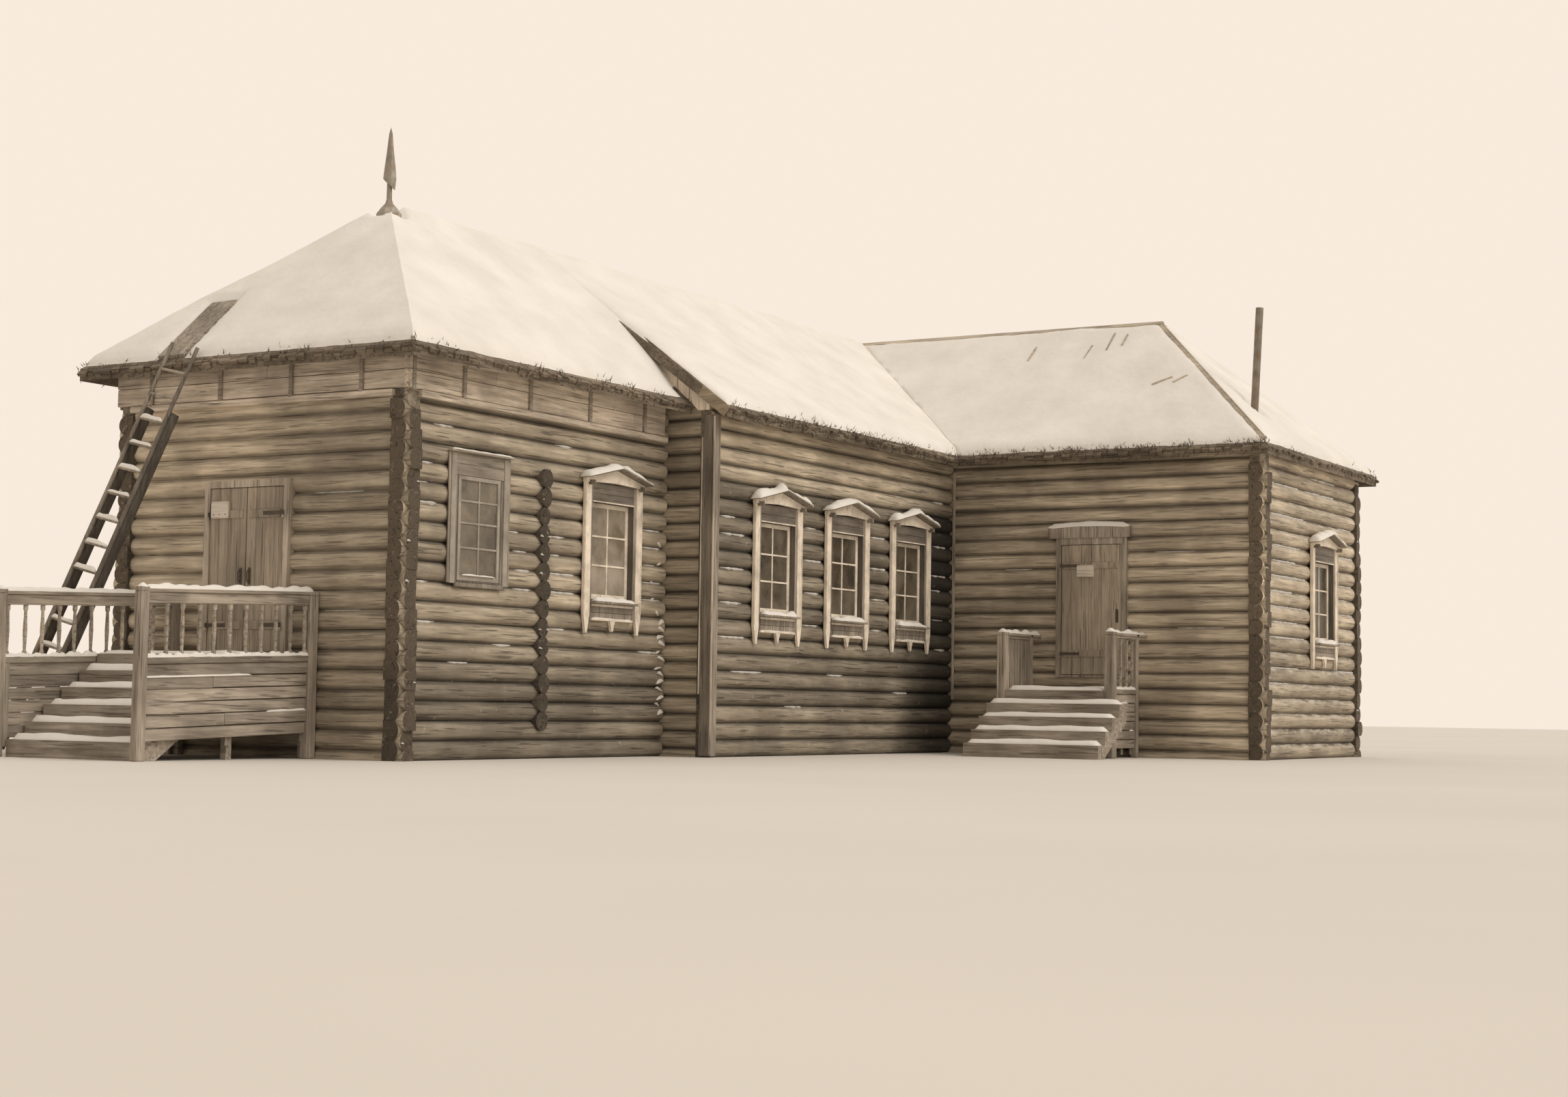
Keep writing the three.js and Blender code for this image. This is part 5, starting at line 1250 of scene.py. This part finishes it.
def hooded_window(name, face, x, y, sill, replaces, pane, heavy=1.0):
    """Heights are those of a window whose sill is at SILL_Z; the piece is then set at its own sill."""
    m = Maker(face, (x, y, sill - SILL_Z))
    reveal(m, -0.03, 0.2, HOODED_HALF)
    sash(m, 0.502, SILL_Z + 0.028, HEAD_Z - 0.026, 0.058, 0.062, (0.333, 0.667))
    window_boards(m, HOODED_TWINS, HOODED_SPANS)
    for sign in (-1, 1):
        m.prism([(sign * u, z) for u, z in CASING], -0.046, OFF_WALL, 0.7, PAINT)
        slope = [(0, 3.958), (sign * 0.785, 3.785), (sign * 0.785, 3.82), (0, 4.0)]
        m.prism(slope, -0.188, -0.006, 0.45, WOOD)
    m.prism(CROWN, -0.072, -0.01, 0.6, PAINT)
    m.prism(BRACKET, -0.05, -0.006, 0.7, PAINT)
    materials = ["paint", "board_z", pane, "board_x"]
    m.piece(name, materials, slot="window_joinery", replaces=replaces)

    s = Maker(face, (x, y, sill - SILL_Z))
    s.drift(-0.49, 0.49, -0.052, 2.095, 0.155, 0.072 * heavy, 0.04, 0.3, x)
    s.drift(-0.81, 0.03, -0.105, 3.8, 0.23, 0.085 * heavy, 0.05, 0.45, x + 3, 3.986)
    s.drift(-0.02, 0.8, -0.105, 3.986, 0.21, 0.07 * heavy, 0.05, 0.5, x + 5, 3.8)
    s.drift(-0.49, 0.49, -0.03, 1.858, 0.04, 0.016, 0.05, 0.5, x + 7)
    s.snow_piece(name + "_snow")


def plain_window(name, face, x, y, sill, replaces):
    """The flat-headed window, drawn at SILL_Z and set at its own sill like the hooded ones."""
    m = Maker(face, (x, y, sill - SILL_Z))
    reveal(m, -0.02, 0.2, PLAIN_HALF)
    sash(m, 0.437, SILL_Z + 0.028, HEAD_Z - 0.026, -0.02, 0.055, (0.29, 0.55, 0.78))
    window_boards(m, PLAIN_TWINS, PLAIN_SPANS)
    materials = ["old_paint", "board_z", "pane_mid", "board_x"]
    m.piece(name, materials, slot="window_joinery", replaces=replaces)
    s = Maker(face, (x, y, sill - SILL_Z))
    s.drift(-0.645, 0.63, -0.05, 3.791, 0.08, 0.02, 0.06, 0.4, x)
    s.drift(-0.36, 0.32, -0.03, 2.2, 0.03, 0.014, 0.05, 0.6, x + 2)
    s.snow_piece(name + "_snow")


for side, face, west_y, nave_y, wing_y in (("south", FACE_SOUTH, 0.0, NAVE_SOUTH, WING_SOUTH),
                                           ("north", FACE_NORTH, WEST_WIDTH, NAVE_NORTH, WING_NORTH)):
    plain_window("plain_joinery_" + side, face, PLAIN_X, west_y, PLAIN_SILL,
                 ["west_block_plain_window_" + side])
    hooded_window("west_hooded_joinery_" + side, face, HOOD_X, west_y, WEST_HOOD_SILL,
                  ["west_block_hood_window_" + side], "pane_pale", 0.9)
    for place, x in zip(("west", "middle", "east"), NAVE_WINDOWS):
        hooded_window("nave_" + place + "_joinery_" + side, face, x, nave_y, NAVE_SILL,
                      ["nave_" + place + "_window_" + side], "pane_dark")
    hooded_window("wing_joinery_" + side, face, WING_WINDOW, wing_y, WING_SILL, ["wing_window_" + side],
                  "pane_dark")


# Door leaves: planks, ledges, straps with bolts, a pull and a blank plate
# Turned parts as (distance along, radius) and the pull as (out, up)
PIN = (-0.03, 0.013), (0.03, 0.013)
BOLT = (-0.002, 0.009), (0.004, 0.009), (0.007, 0.005)
NAIL = (-0.002, 0.005), (0.002, 0.004)
LEAF_DEPTH = 0.046
PLANK, IRON, BLANK = 0, 1, 2
PULL = [(-0.006, 0.9), (-0.046, 0.905), (-0.05, 0.93), (-0.05, 1.01), (-0.046, 1.035), (-0.006, 1.04)]


def round_stack(m, centre, out, profile, count, a, b):
    """A small turned part: rings of (distance along out, radius) round centre."""
    m.loft([circle(centre + out * at, a, b, r, count) for at, r in profile], 0.5, IRON)


def door_leaf(name, body, node, x, hinge_y, width, direction, z0, z1, planks, plate):
    """x is the leaf's outer face. direction points from the hinge across the leaf."""
    m = Maker()
    y0, y1 = sorted((hinge_y, hinge_y + direction * width))
    each = (y1 - y0) / planks
    for i in range(planks):
        near, far = y0 + i * each + 0.0015, y0 + (i + 1) * each - 0.0015
        m.bar((x + 0.0005 * (i % 3), near, z0), (x + LEAF_DEPTH, far, z1), uniform(0.4, 0.62), PLANK, 0.004)
    m.bar((x + 0.03, y0 + 0.01, z0 + 0.01), (x + 0.044, y1 - 0.01, z1 - 0.01), 0.3)
    pin_y = hinge_y - direction * 0.0035
    for at in (0.16, 0.84):
        z = z0 + (z1 - z0) * at
        m.bar((x - 0.018, y0 + 0.05, z - 0.055), (x + 0.01, y1 - 0.05, z + 0.055), 0.42, PLANK, 0.008)
        strap = hinge_y + direction * 0.33
        m.bar((x - 0.026, pin_y, z - 0.024), (x - 0.017, strap, z + 0.024), 0.5, IRON, 0.003)
        round_stack(m, Vector((x - 0.03, pin_y, z)), AXIS_Z, PIN, 16, AXIS_X, AXIS_Y)
        for k in range(3):
            bolt = Vector((x - 0.026, hinge_y + direction * (0.08 + 0.1 * k), z))
            round_stack(m, bolt, -AXIS_X, BOLT, 8, AXIS_Y, AXIS_Z)
    knob = y1 - 0.07 if direction > 0 else y0 + 0.07
    m.bar((x - 0.008, knob - 0.022, z0 + 0.86), (x + 0.002, knob + 0.022, z0 + 1.08), 0.5, IRON, 0.003)
    rings = []
    for i, (out, up) in enumerate(PULL):
        across = AXIS_X if i in (2, 3) else AXIS_Z
        rings.append(circle(Vector((x + out, knob, z0 + up)), AXIS_Y, across, 0.008, 8))
    m.loft(rings, 0.5, IRON)
    if plate:
        side, plate_z, half = plate
        mid = (y0 + y1) / 2 + side
        m.bar((x - 0.03, mid - 0.15, plate_z - half), (x + 0.004, mid + 0.15, plate_z + half),
              0.5, BLANK, 0.002)
        for a in (-1, 1):
            for b in (-1, 1):
                nail = Vector((x - 0.03, mid + a * 0.135, plate_z + b * (half - 0.015)))
                round_stack(m, nail, -AXIS_X, NAIL, 6, AXIS_Y, AXIS_Z)
    m.piece(name, ["door", "iron", "blank"], body=body, slot="door_leaf", replaces=[node])


LEAF_OUT, LEAF_Z0, WEST_LEAF_Z1, WING_LEAF_Z1 = -0.032, 1.347, 3.463, 3.503
WEST_LEAF, WING_LEAF = 0.627, 1.066
door_leaf("west_south_leaf_planks", "west_leaf_south", "west_door_leaf_south", LEAF_OUT, 1.957, WEST_LEAF, 1,
          LEAF_Z0, WEST_LEAF_Z1, 4, None)
door_leaf("west_north_leaf_planks", "west_leaf_north", "west_door_leaf_north", LEAF_OUT, 3.223, WEST_LEAF, -1,
          LEAF_Z0, WEST_LEAF_Z1, 4, (0.13, 3.185, 0.11))
door_leaf("wing_leaf_planks", "wing_leaf", "wing_door_leaf", X2 + LEAF_OUT, -2.847, WING_LEAF, -1,
          LEAF_Z0, WING_LEAF_Z1, 6, (0.1, 3.07, 0.1))


# Porch and stoop side panels: grain along the board or upright, and boards below the rail
LEVEL, UPRIGHT, BOARD_ROWS = 0, 1, 6


def turned(m, x, y, z0, z1, tone):
    """A squared baluster with its middle worked thinner."""
    parts = ((z0, 0.024), (z0 + 0.06, 0.024), (z0 + 0.085, 0.015), ((z0 + z1) / 2, 0.022),
             (z1 - 0.085, 0.015), (z1 - 0.06, 0.024), (z1, 0.024))
    rings = []
    for z, r in parts:
        c = r * 0.72
        corners = ((r, -c), (r, c), (c, r), (-c, r), (-r, c), (-r, -c), (-c, -r), (c, -r))
        rings.append([(x + a, y + b, z) for a, b in corners])
    m.loft(rings, tone)


def climb(m, first, x0, rise):
    """Tilts the points from first on so that they rise toward the wall."""
    for p in m.points[first:]:
        p.z += rise * (p.x - SHIFT.x - x0)


def side_panel(name, node, span, y, posts, count, bottom, low, rail, rise, upright, outside):
    """A porch side: posts to the ground, rails with balusters between them, boards below.
    span: ends of the boards and east end of the rail; posts: x from, x to, half width, top;
    bottom and low: heights of the boarding; rail: depth of the rail; rise: its climb to the wall."""
    x0, x1, rail_x1 = span
    wide = x1 - x0
    m = Maker()
    for px0, px1, half, top in posts:
        tone = uniform(0.45, 0.7)
        m.bar((px0, y - half, 0.0), (px1, y + half, top - 0.05), tone, UPRIGHT, 0.014)
        m.bar((px0, y - half, top - 0.052), (px1, y + half, top), tone, UPRIGHT, 0.012)
    first = len(m.points)
    m.bar((x0, y - 0.06, RAIL_TOP_Z - 0.045), (rail_x1, y + 0.06, RAIL_TOP_Z), 0.55, LEVEL, 0.01)
    m.bar((x0, y - 0.038, RAIL_TOP_Z - rail), (rail_x1, y + 0.038, RAIL_TOP_Z - 0.044), 0.62, LEVEL, 0.006)
    m.bar((x0, y - 0.05, low - 0.08), (x1, y + 0.05, low), 0.35, LEVEL, 0.008)
    for i in range(count):
        x = x0 + wide * (i + 0.5) / count
        if upright:
            half = wide / count * 0.42
            m.bar((x - half, y - 0.015, low - 0.01), (x + half, y + 0.015, RAIL_TOP_Z + 0.01 - rail),
                  slot=UPRIGHT)
        else:
            x += uniform(-0.012, 0.012)
            turned(m, x, y, low - 0.005, RAIL_TOP_Z + 0.005 - rail, uniform(0.3, 0.85))
    high = (low - 0.077 - bottom) / BOARD_ROWS
    for i in range(BOARD_ROWS):
        z = bottom + i * high
        tilt = uniform(-0.004, 0.004)
        proud = 0.012 * (i % 2) + uniform(0, 0.006)
        thick = 0.028 + proud
        middle = y + outside * (0.002 + proud / 2)
        cut = uniform(0.4, 0.6) if i % 3 == 1 else 1.0
        split = x0 + wide * cut
        for p, q in ((x0, split), (split, x1)):
            if q - p > 0.05:
                m.beam((p + 0.002, middle, z + high / 2 - tilt), (q - 0.002, middle, z + high / 2 + tilt),
                       thick, high - 0.012, uniform(0.3, 0.75))
        m.bar((x0, y - outside * 0.03, z + 0.004), (x1, y - outside * 0.012, z + high - 0.002),
              uniform(0.2, 0.6))
    for x in (x0 + wide * 0.02, (x0 + x1) / 2, x1 - wide * 0.02 - 0.08):
        m.bar((x, y - outside * 0.058, bottom - 0.1), (x + 0.08, y - outside * 0.03, low - 0.08),
              0.4, UPRIGHT)
    climb(m, first, x0, rise)
    m.piece(name, ["board_x", "board_z"], slot="weathered_boards", replaces=[node])

    s = Maker()
    px0, px1, half, top = posts[0]
    s.drift(px0 + 0.01, px1 - 0.01, y, top - 0.004, half * 1.9, 0.05, 0.025, 0.4, y)
    first = len(s.points)
    s.drift(x0 + 0.05, rail_x1 - 0.02, y, RAIL_TOP_Z - 0.002, 0.125, 0.055, 0.05, 0.55, x0 + y)
    if not upright:
        step = wide / count
        for i in range(count):
            a = x0 + i * step
            tall = 0.045 + uniform(0, 0.02)
            s.drift(a + 0.005, a + step - 0.005, y + 0.002, low - 0.004, 0.1, tall, 0.025, 0.3, a)
        s.drift(x0 + 0.02, x1 - 0.02, y + 0.002, low - 0.004, 0.096, 0.032, 0.05, 0.4, y)
        for row, start, end, off, width, tall, seed in (
                (5, x0 + 0.05, x0 + wide * 0.62, 0.024, 0.022, 0.026, y + 1),
                (2, x0 + wide * 0.72, x1 - 0.1, 0.02, 0.02, 0.018, y + 2)):
            z = bottom + row * high
            s.drift(start, end, y + outside * off, z - 0.006, width, tall, 0.05, 0.5, seed, z - 0.002)
    climb(s, first, x0, rise)
    s.snow_piece(name + "_snow")


PORCH_POSTS = ((-3.02, -2.89, 0.065, 2.02), (-0.16, -0.0004, 0.065, 2.1))
PORCH_Y0, PORCH_Y1 = 1.41, 3.77
PORCH_SPAN = (-2.96, -0.05, -0.05)
for side, y, outside in (("south", PORCH_Y0, -1), ("north", PORCH_Y1, 1)):
    side_panel("porch_" + side + "_boards", "porch_" + side + "_panel", PORCH_SPAN, y, PORCH_POSTS, count=11,
               bottom=0.22, low=1.2, rail=0.17, rise=0.0345, upright=False, outside=outside)
STOOP_POSTS = ((X2 - 1.48, X2 - 1.32, 0.08, 2.01), (X2 - 0.43, X2 - 0.34, 0.06, 2.0))
STOOP_Y0, STOOP_Y1 = -4.30, -2.42
STOOP_SPAN = (X2 - 1.35, X2 - 0.38, X2 - 0.0005)
for side, y, count, outside in (("south", STOOP_Y0, 4, -1), ("north", STOOP_Y1, 5, 1)):
    side_panel("stoop_" + side + "_boards", "stoop_" + side + "_panel", STOOP_SPAN, y, STOOP_POSTS, count,
               bottom=0.15, low=1.1, rail=0.09, rise=0.0, upright=side == "north", outside=outside)


# Snow on treads, landings and the ladder
def tread_snow(m, x0, x1, y0, y1, z, high, seed):
    """A drift that covers one tread and thins out at its edges."""
    nx, ny = max(3, int((x1 - x0) / 0.06)), max(6, int((y1 - y0) / 0.09))

    def depth_at(s, t):
        edge = min(min(s, 1 - s) * (x1 - x0), min(t, 1 - t) * (y1 - y0))
        n = jitter((x0 + (x1 - x0) * s) * 2.2 + seed, (y0 + (y1 - y0) * t) * 2.2, z * 3)
        return high * math.sqrt(min(1.0, edge / 0.06)) * (1 + 0.35 * n) - 0.004

    blanket(m, [[(Vector((x0 + (x1 - x0) * i / nx, y0 + (y1 - y0) * j / ny, z)), depth_at(i / nx, j / ny))
                 for i in range(nx + 1)] for j in range(ny + 1)], 0.012)


def flight_snow(name, x1, landing, landing_z, landing_y, step_y, count, high):
    """Snow on each tread and, low enough for the leaves to pass over it, on the landing."""
    m = Maker()
    edge = x1 - landing
    foot = edge - (count - 1) * TREAD
    for k in range(count - 1):
        tread_snow(m, foot + k * TREAD + 0.01, foot + (k + 1) * TREAD - 0.005, step_y[0] + 0.02,
                   step_y[1] - 0.02, (k + 1) * landing_z / count, high, k)
    under_leaf = min(high, LEAF_Z0 - landing_z - 0.025)
    tread_snow(m, edge + 0.01, x1 - 0.08, landing_y[0] + 0.02, landing_y[1] - 0.02, landing_z, under_leaf, 9)
    m.snow_piece(name)


TREAD = 0.28
PORCH_STEP_Y, STOOP_LANDING_Y, STOOP_STEP_Y = (1.476, 3.704), (-4.22, -2.5), (-4.6, -2.3)
flight_snow("porch_step_snow", 0, 1.45, PORCH_LANDING_Z, PORCH_STEP_Y, PORCH_STEP_Y, 6, 0.075)
flight_snow("stoop_step_snow", X2, 1.482, STOOP_LANDING_Z, STOOP_LANDING_Y, STOOP_STEP_Y, 5, 0.07)


# The ladder's foot and top on the ground and over the eave, and its poles and rungs
LADDER_FOOT, LADDER_TOP_Y, LADDER_TOP_Z, POLE_CLEAR = Vector((-2.0, 4.7, 0)), 3.45, 5.25, 0.0353
LADDER_HALF, RUNG_HALF, RUNG_SNOW_HALF = 0.245, 0.255, 0.215
FIRST_RUNG, RUNG_STEP, SNOWY_RUNGS_Z = 0.406, 0.352, 4.5


def ladder_axes():
    """Foot, way up, way across and length of the ladder, whose poles rest on the eave's edge."""
    foot = LADDER_FOOT
    reach = math.hypot(-OVERHANG - foot.x, WEST_EAVE_Z)
    lean = math.atan2(-OVERHANG - foot.x, WEST_EAVE_Z) - math.asin(POLE_CLEAR / reach)
    top = Vector((foot.x + math.tan(lean) * LADDER_TOP_Z, LADDER_TOP_Y, LADDER_TOP_Z))
    up = (top - foot).normalized()
    wide = (AXIS_Y - up * up.y).normalized()
    return foot, up, wide, (top - foot).length + 0.08


def ladder():
    """Peeled poles with rungs let into them, and snow lying on each rung."""
    foot, up, wide, length = ladder_axes()
    out = wide.cross(up).normalized()
    m, s = Maker(), Maker()
    count = 22
    for sign in (-1, 1):
        side = wide * (sign * LADDER_HALF)
        rings = []
        for i in range(count + 1):
            at = length * i / count
            base = foot + side + up * (at if i else (0.02 - side.z) / up.z)
            bend = 0.006 * jitter(at, sign * 4.0, 2.0)
            r = 0.034 - 0.008 * i / count + 0.002 * jitter(at * 5, sign, 7.0)
            rings.append(circle(base + wide * bend, wide, out, r, 10))
        m.loft(rings, 0.15 + 0.1 * sign)
        # A deep string plank beside each pole; its very dark tone is partly painted shading, for the shaded
        # inner face seen between the rungs.
        plank = foot + side + out * 0.0975
        m.beam(plank + up * (0.07 - plank.z) / up.z, plank + up * 4.8, 0.044, 0.135, -0.2, up=out)
    at = FIRST_RUNG
    while at < length - 0.06:
        middle = foot + up * at
        rings = []
        for i in range(5):
            w = RUNG_HALF * (i / 2 - 1)
            rings.append(circle(middle + wide * w, out, up, 0.02 + 0.003 * jitter(at * 9, i, 1.0), 8))
        m.loft(rings, uniform(0.3, 0.8))
        snow = middle + AXIS_Z * 0.012
        if middle.z < SNOWY_RUNGS_Z:
            side = wide * RUNG_SNOW_HALF
            s.heap(snow - side, snow + side, out, 0.055, 0.045 + uniform(0, 0.015), 0.03, 0.4, at)
        at += RUNG_STEP
    m.piece("ladder_poles", ["board_z"], slot="weathered_boards", replaces=["ladder"], smooth=50)
    s.snow_piece("ladder_snow")


ladder()

def hood_snow():
    """Snow along the boarded hood over the wing's door, hanging over its front edge."""
    m = Maker()
    count = 14
    rings = []
    for i in range(count + 1):
        side = -1 + 2 * i / count
        y = (WING_DOOR[0] + WING_DOOR[1]) / 2 + 0.035 + side * 0.72
        z = WING_DOOR[2] + 0.205 + 0.035 * (1 - side * side)
        high = 0.055 * (1 + 0.35 * jitter(y * 4, 1.0, 1.0)) * (0.3 if i in (0, count) else 1)
        hang = z - 0.006 - high * 0.45
        outline = ((0.066, z - 0.003), (0.069, hang), (0.086, hang + 0.004), (0.09, z + high * 0.5),
                   (0.06, z + high), (0.006, z + high * 0.8), (0.006, z - 0.003))
        rings.append([(X2 - out, y, height) for out, height in outline])
    m.loft(rings)
    m.snow_piece("wing_door_hood_snow")


hood_snow()


# Materials of the CAD nodes that stay in view
DRESS = {"west_door_frame": "door_frame", "west_block_roof": "roof_x", "nave_roof": "roof_x",
         "wing_roof": "roof_y", "roof_walk": "plank_x", "finial": "sheet", "stovepipe": "pipe"}
KINDS = {"glass": "glass", "floor": "plank_y", "steps": "plank_y", "frame": "plank_z", "gable": "plank_z"}
for name, thing in nodes.items():
    by_kind = [material for word, material in KINDS.items() if word in name]
    if name in DRESS or by_kind:
        for slot in thing.material_slots:
            slot.material = MAT[DRESS.get(name) or by_kind[0]]


# Floor, sky and lights
SKY, SKY_DIM = (0.94, 0.83, 0.72), 0.68
STAGE_REACH = 130.0
BEHIND_CHURCH = (0.886, 0.464, 0.0)


def make_stage():
    g = Graph("stage_floor")
    cloud = g.noise(g.place, 0.15, 3.0, 0.5)
    base = g.mix(g.level(cloud, 0.3, 0.7), (0.7, 0.665, 0.61), (0.74, 0.7, 0.645))
    mesh = bpy.data.meshes.new("stage_floor")
    far = STAGE_REACH
    mesh.from_pydata([(-far, -far, 0), (far, -far, 0), (far, far, 0), (-far, far, 0)], [], [(0, 1, 2, 3)])
    mesh.materials.append(g.finish(base, 0.9))
    floor = bpy.data.objects.new("stage_floor", mesh)
    show(floor)
    floor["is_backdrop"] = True

    # An even sky, brighter behind the church than overhead and behind the camera
    world = bpy.data.worlds.new("studio")
    world.use_nodes = True
    tree = world.node_tree
    where = tree.nodes.new("ShaderNodeTexCoord")
    toward = tree.nodes.new("ShaderNodeVectorMath")
    toward.operation = "DOT_PRODUCT"
    toward.inputs[1].default_value = BEHIND_CHURCH
    tree.links.new(where.outputs["Generated"], toward.inputs[0])
    band = tree.nodes.new("ShaderNodeValToRGB")
    tree.links.new(toward.outputs["Value"], band.inputs["Fac"])
    stops = band.color_ramp.elements
    stops[0].position, stops[0].color = 0.0, (*dimmed(SKY_DIM, *SKY), 1)
    stops[1].position, stops[1].color = 0.8, (*SKY, 1)
    tree.links.new(band.outputs["Color"], tree.nodes["Background"].inputs["Color"])
    bpy.context.scene.world = world

    sun = bpy.data.lights.new("key", "SUN")
    sun.energy = 1.25
    sun.angle = math.radians(40)
    sun.color = (1.0, 0.95, 0.88)
    lamp = bpy.data.objects.new("key", sun)
    lamp.rotation_euler = Vector((0.15, -0.75, 0.85)).to_track_quat("Z", "Y").to_euler()
    show(lamp)
    bpy.context.scene.view_settings.view_transform = "Standard"


make_stage()

[[list(map(float, corner)) for corner in box] for box in (cad_box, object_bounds())]
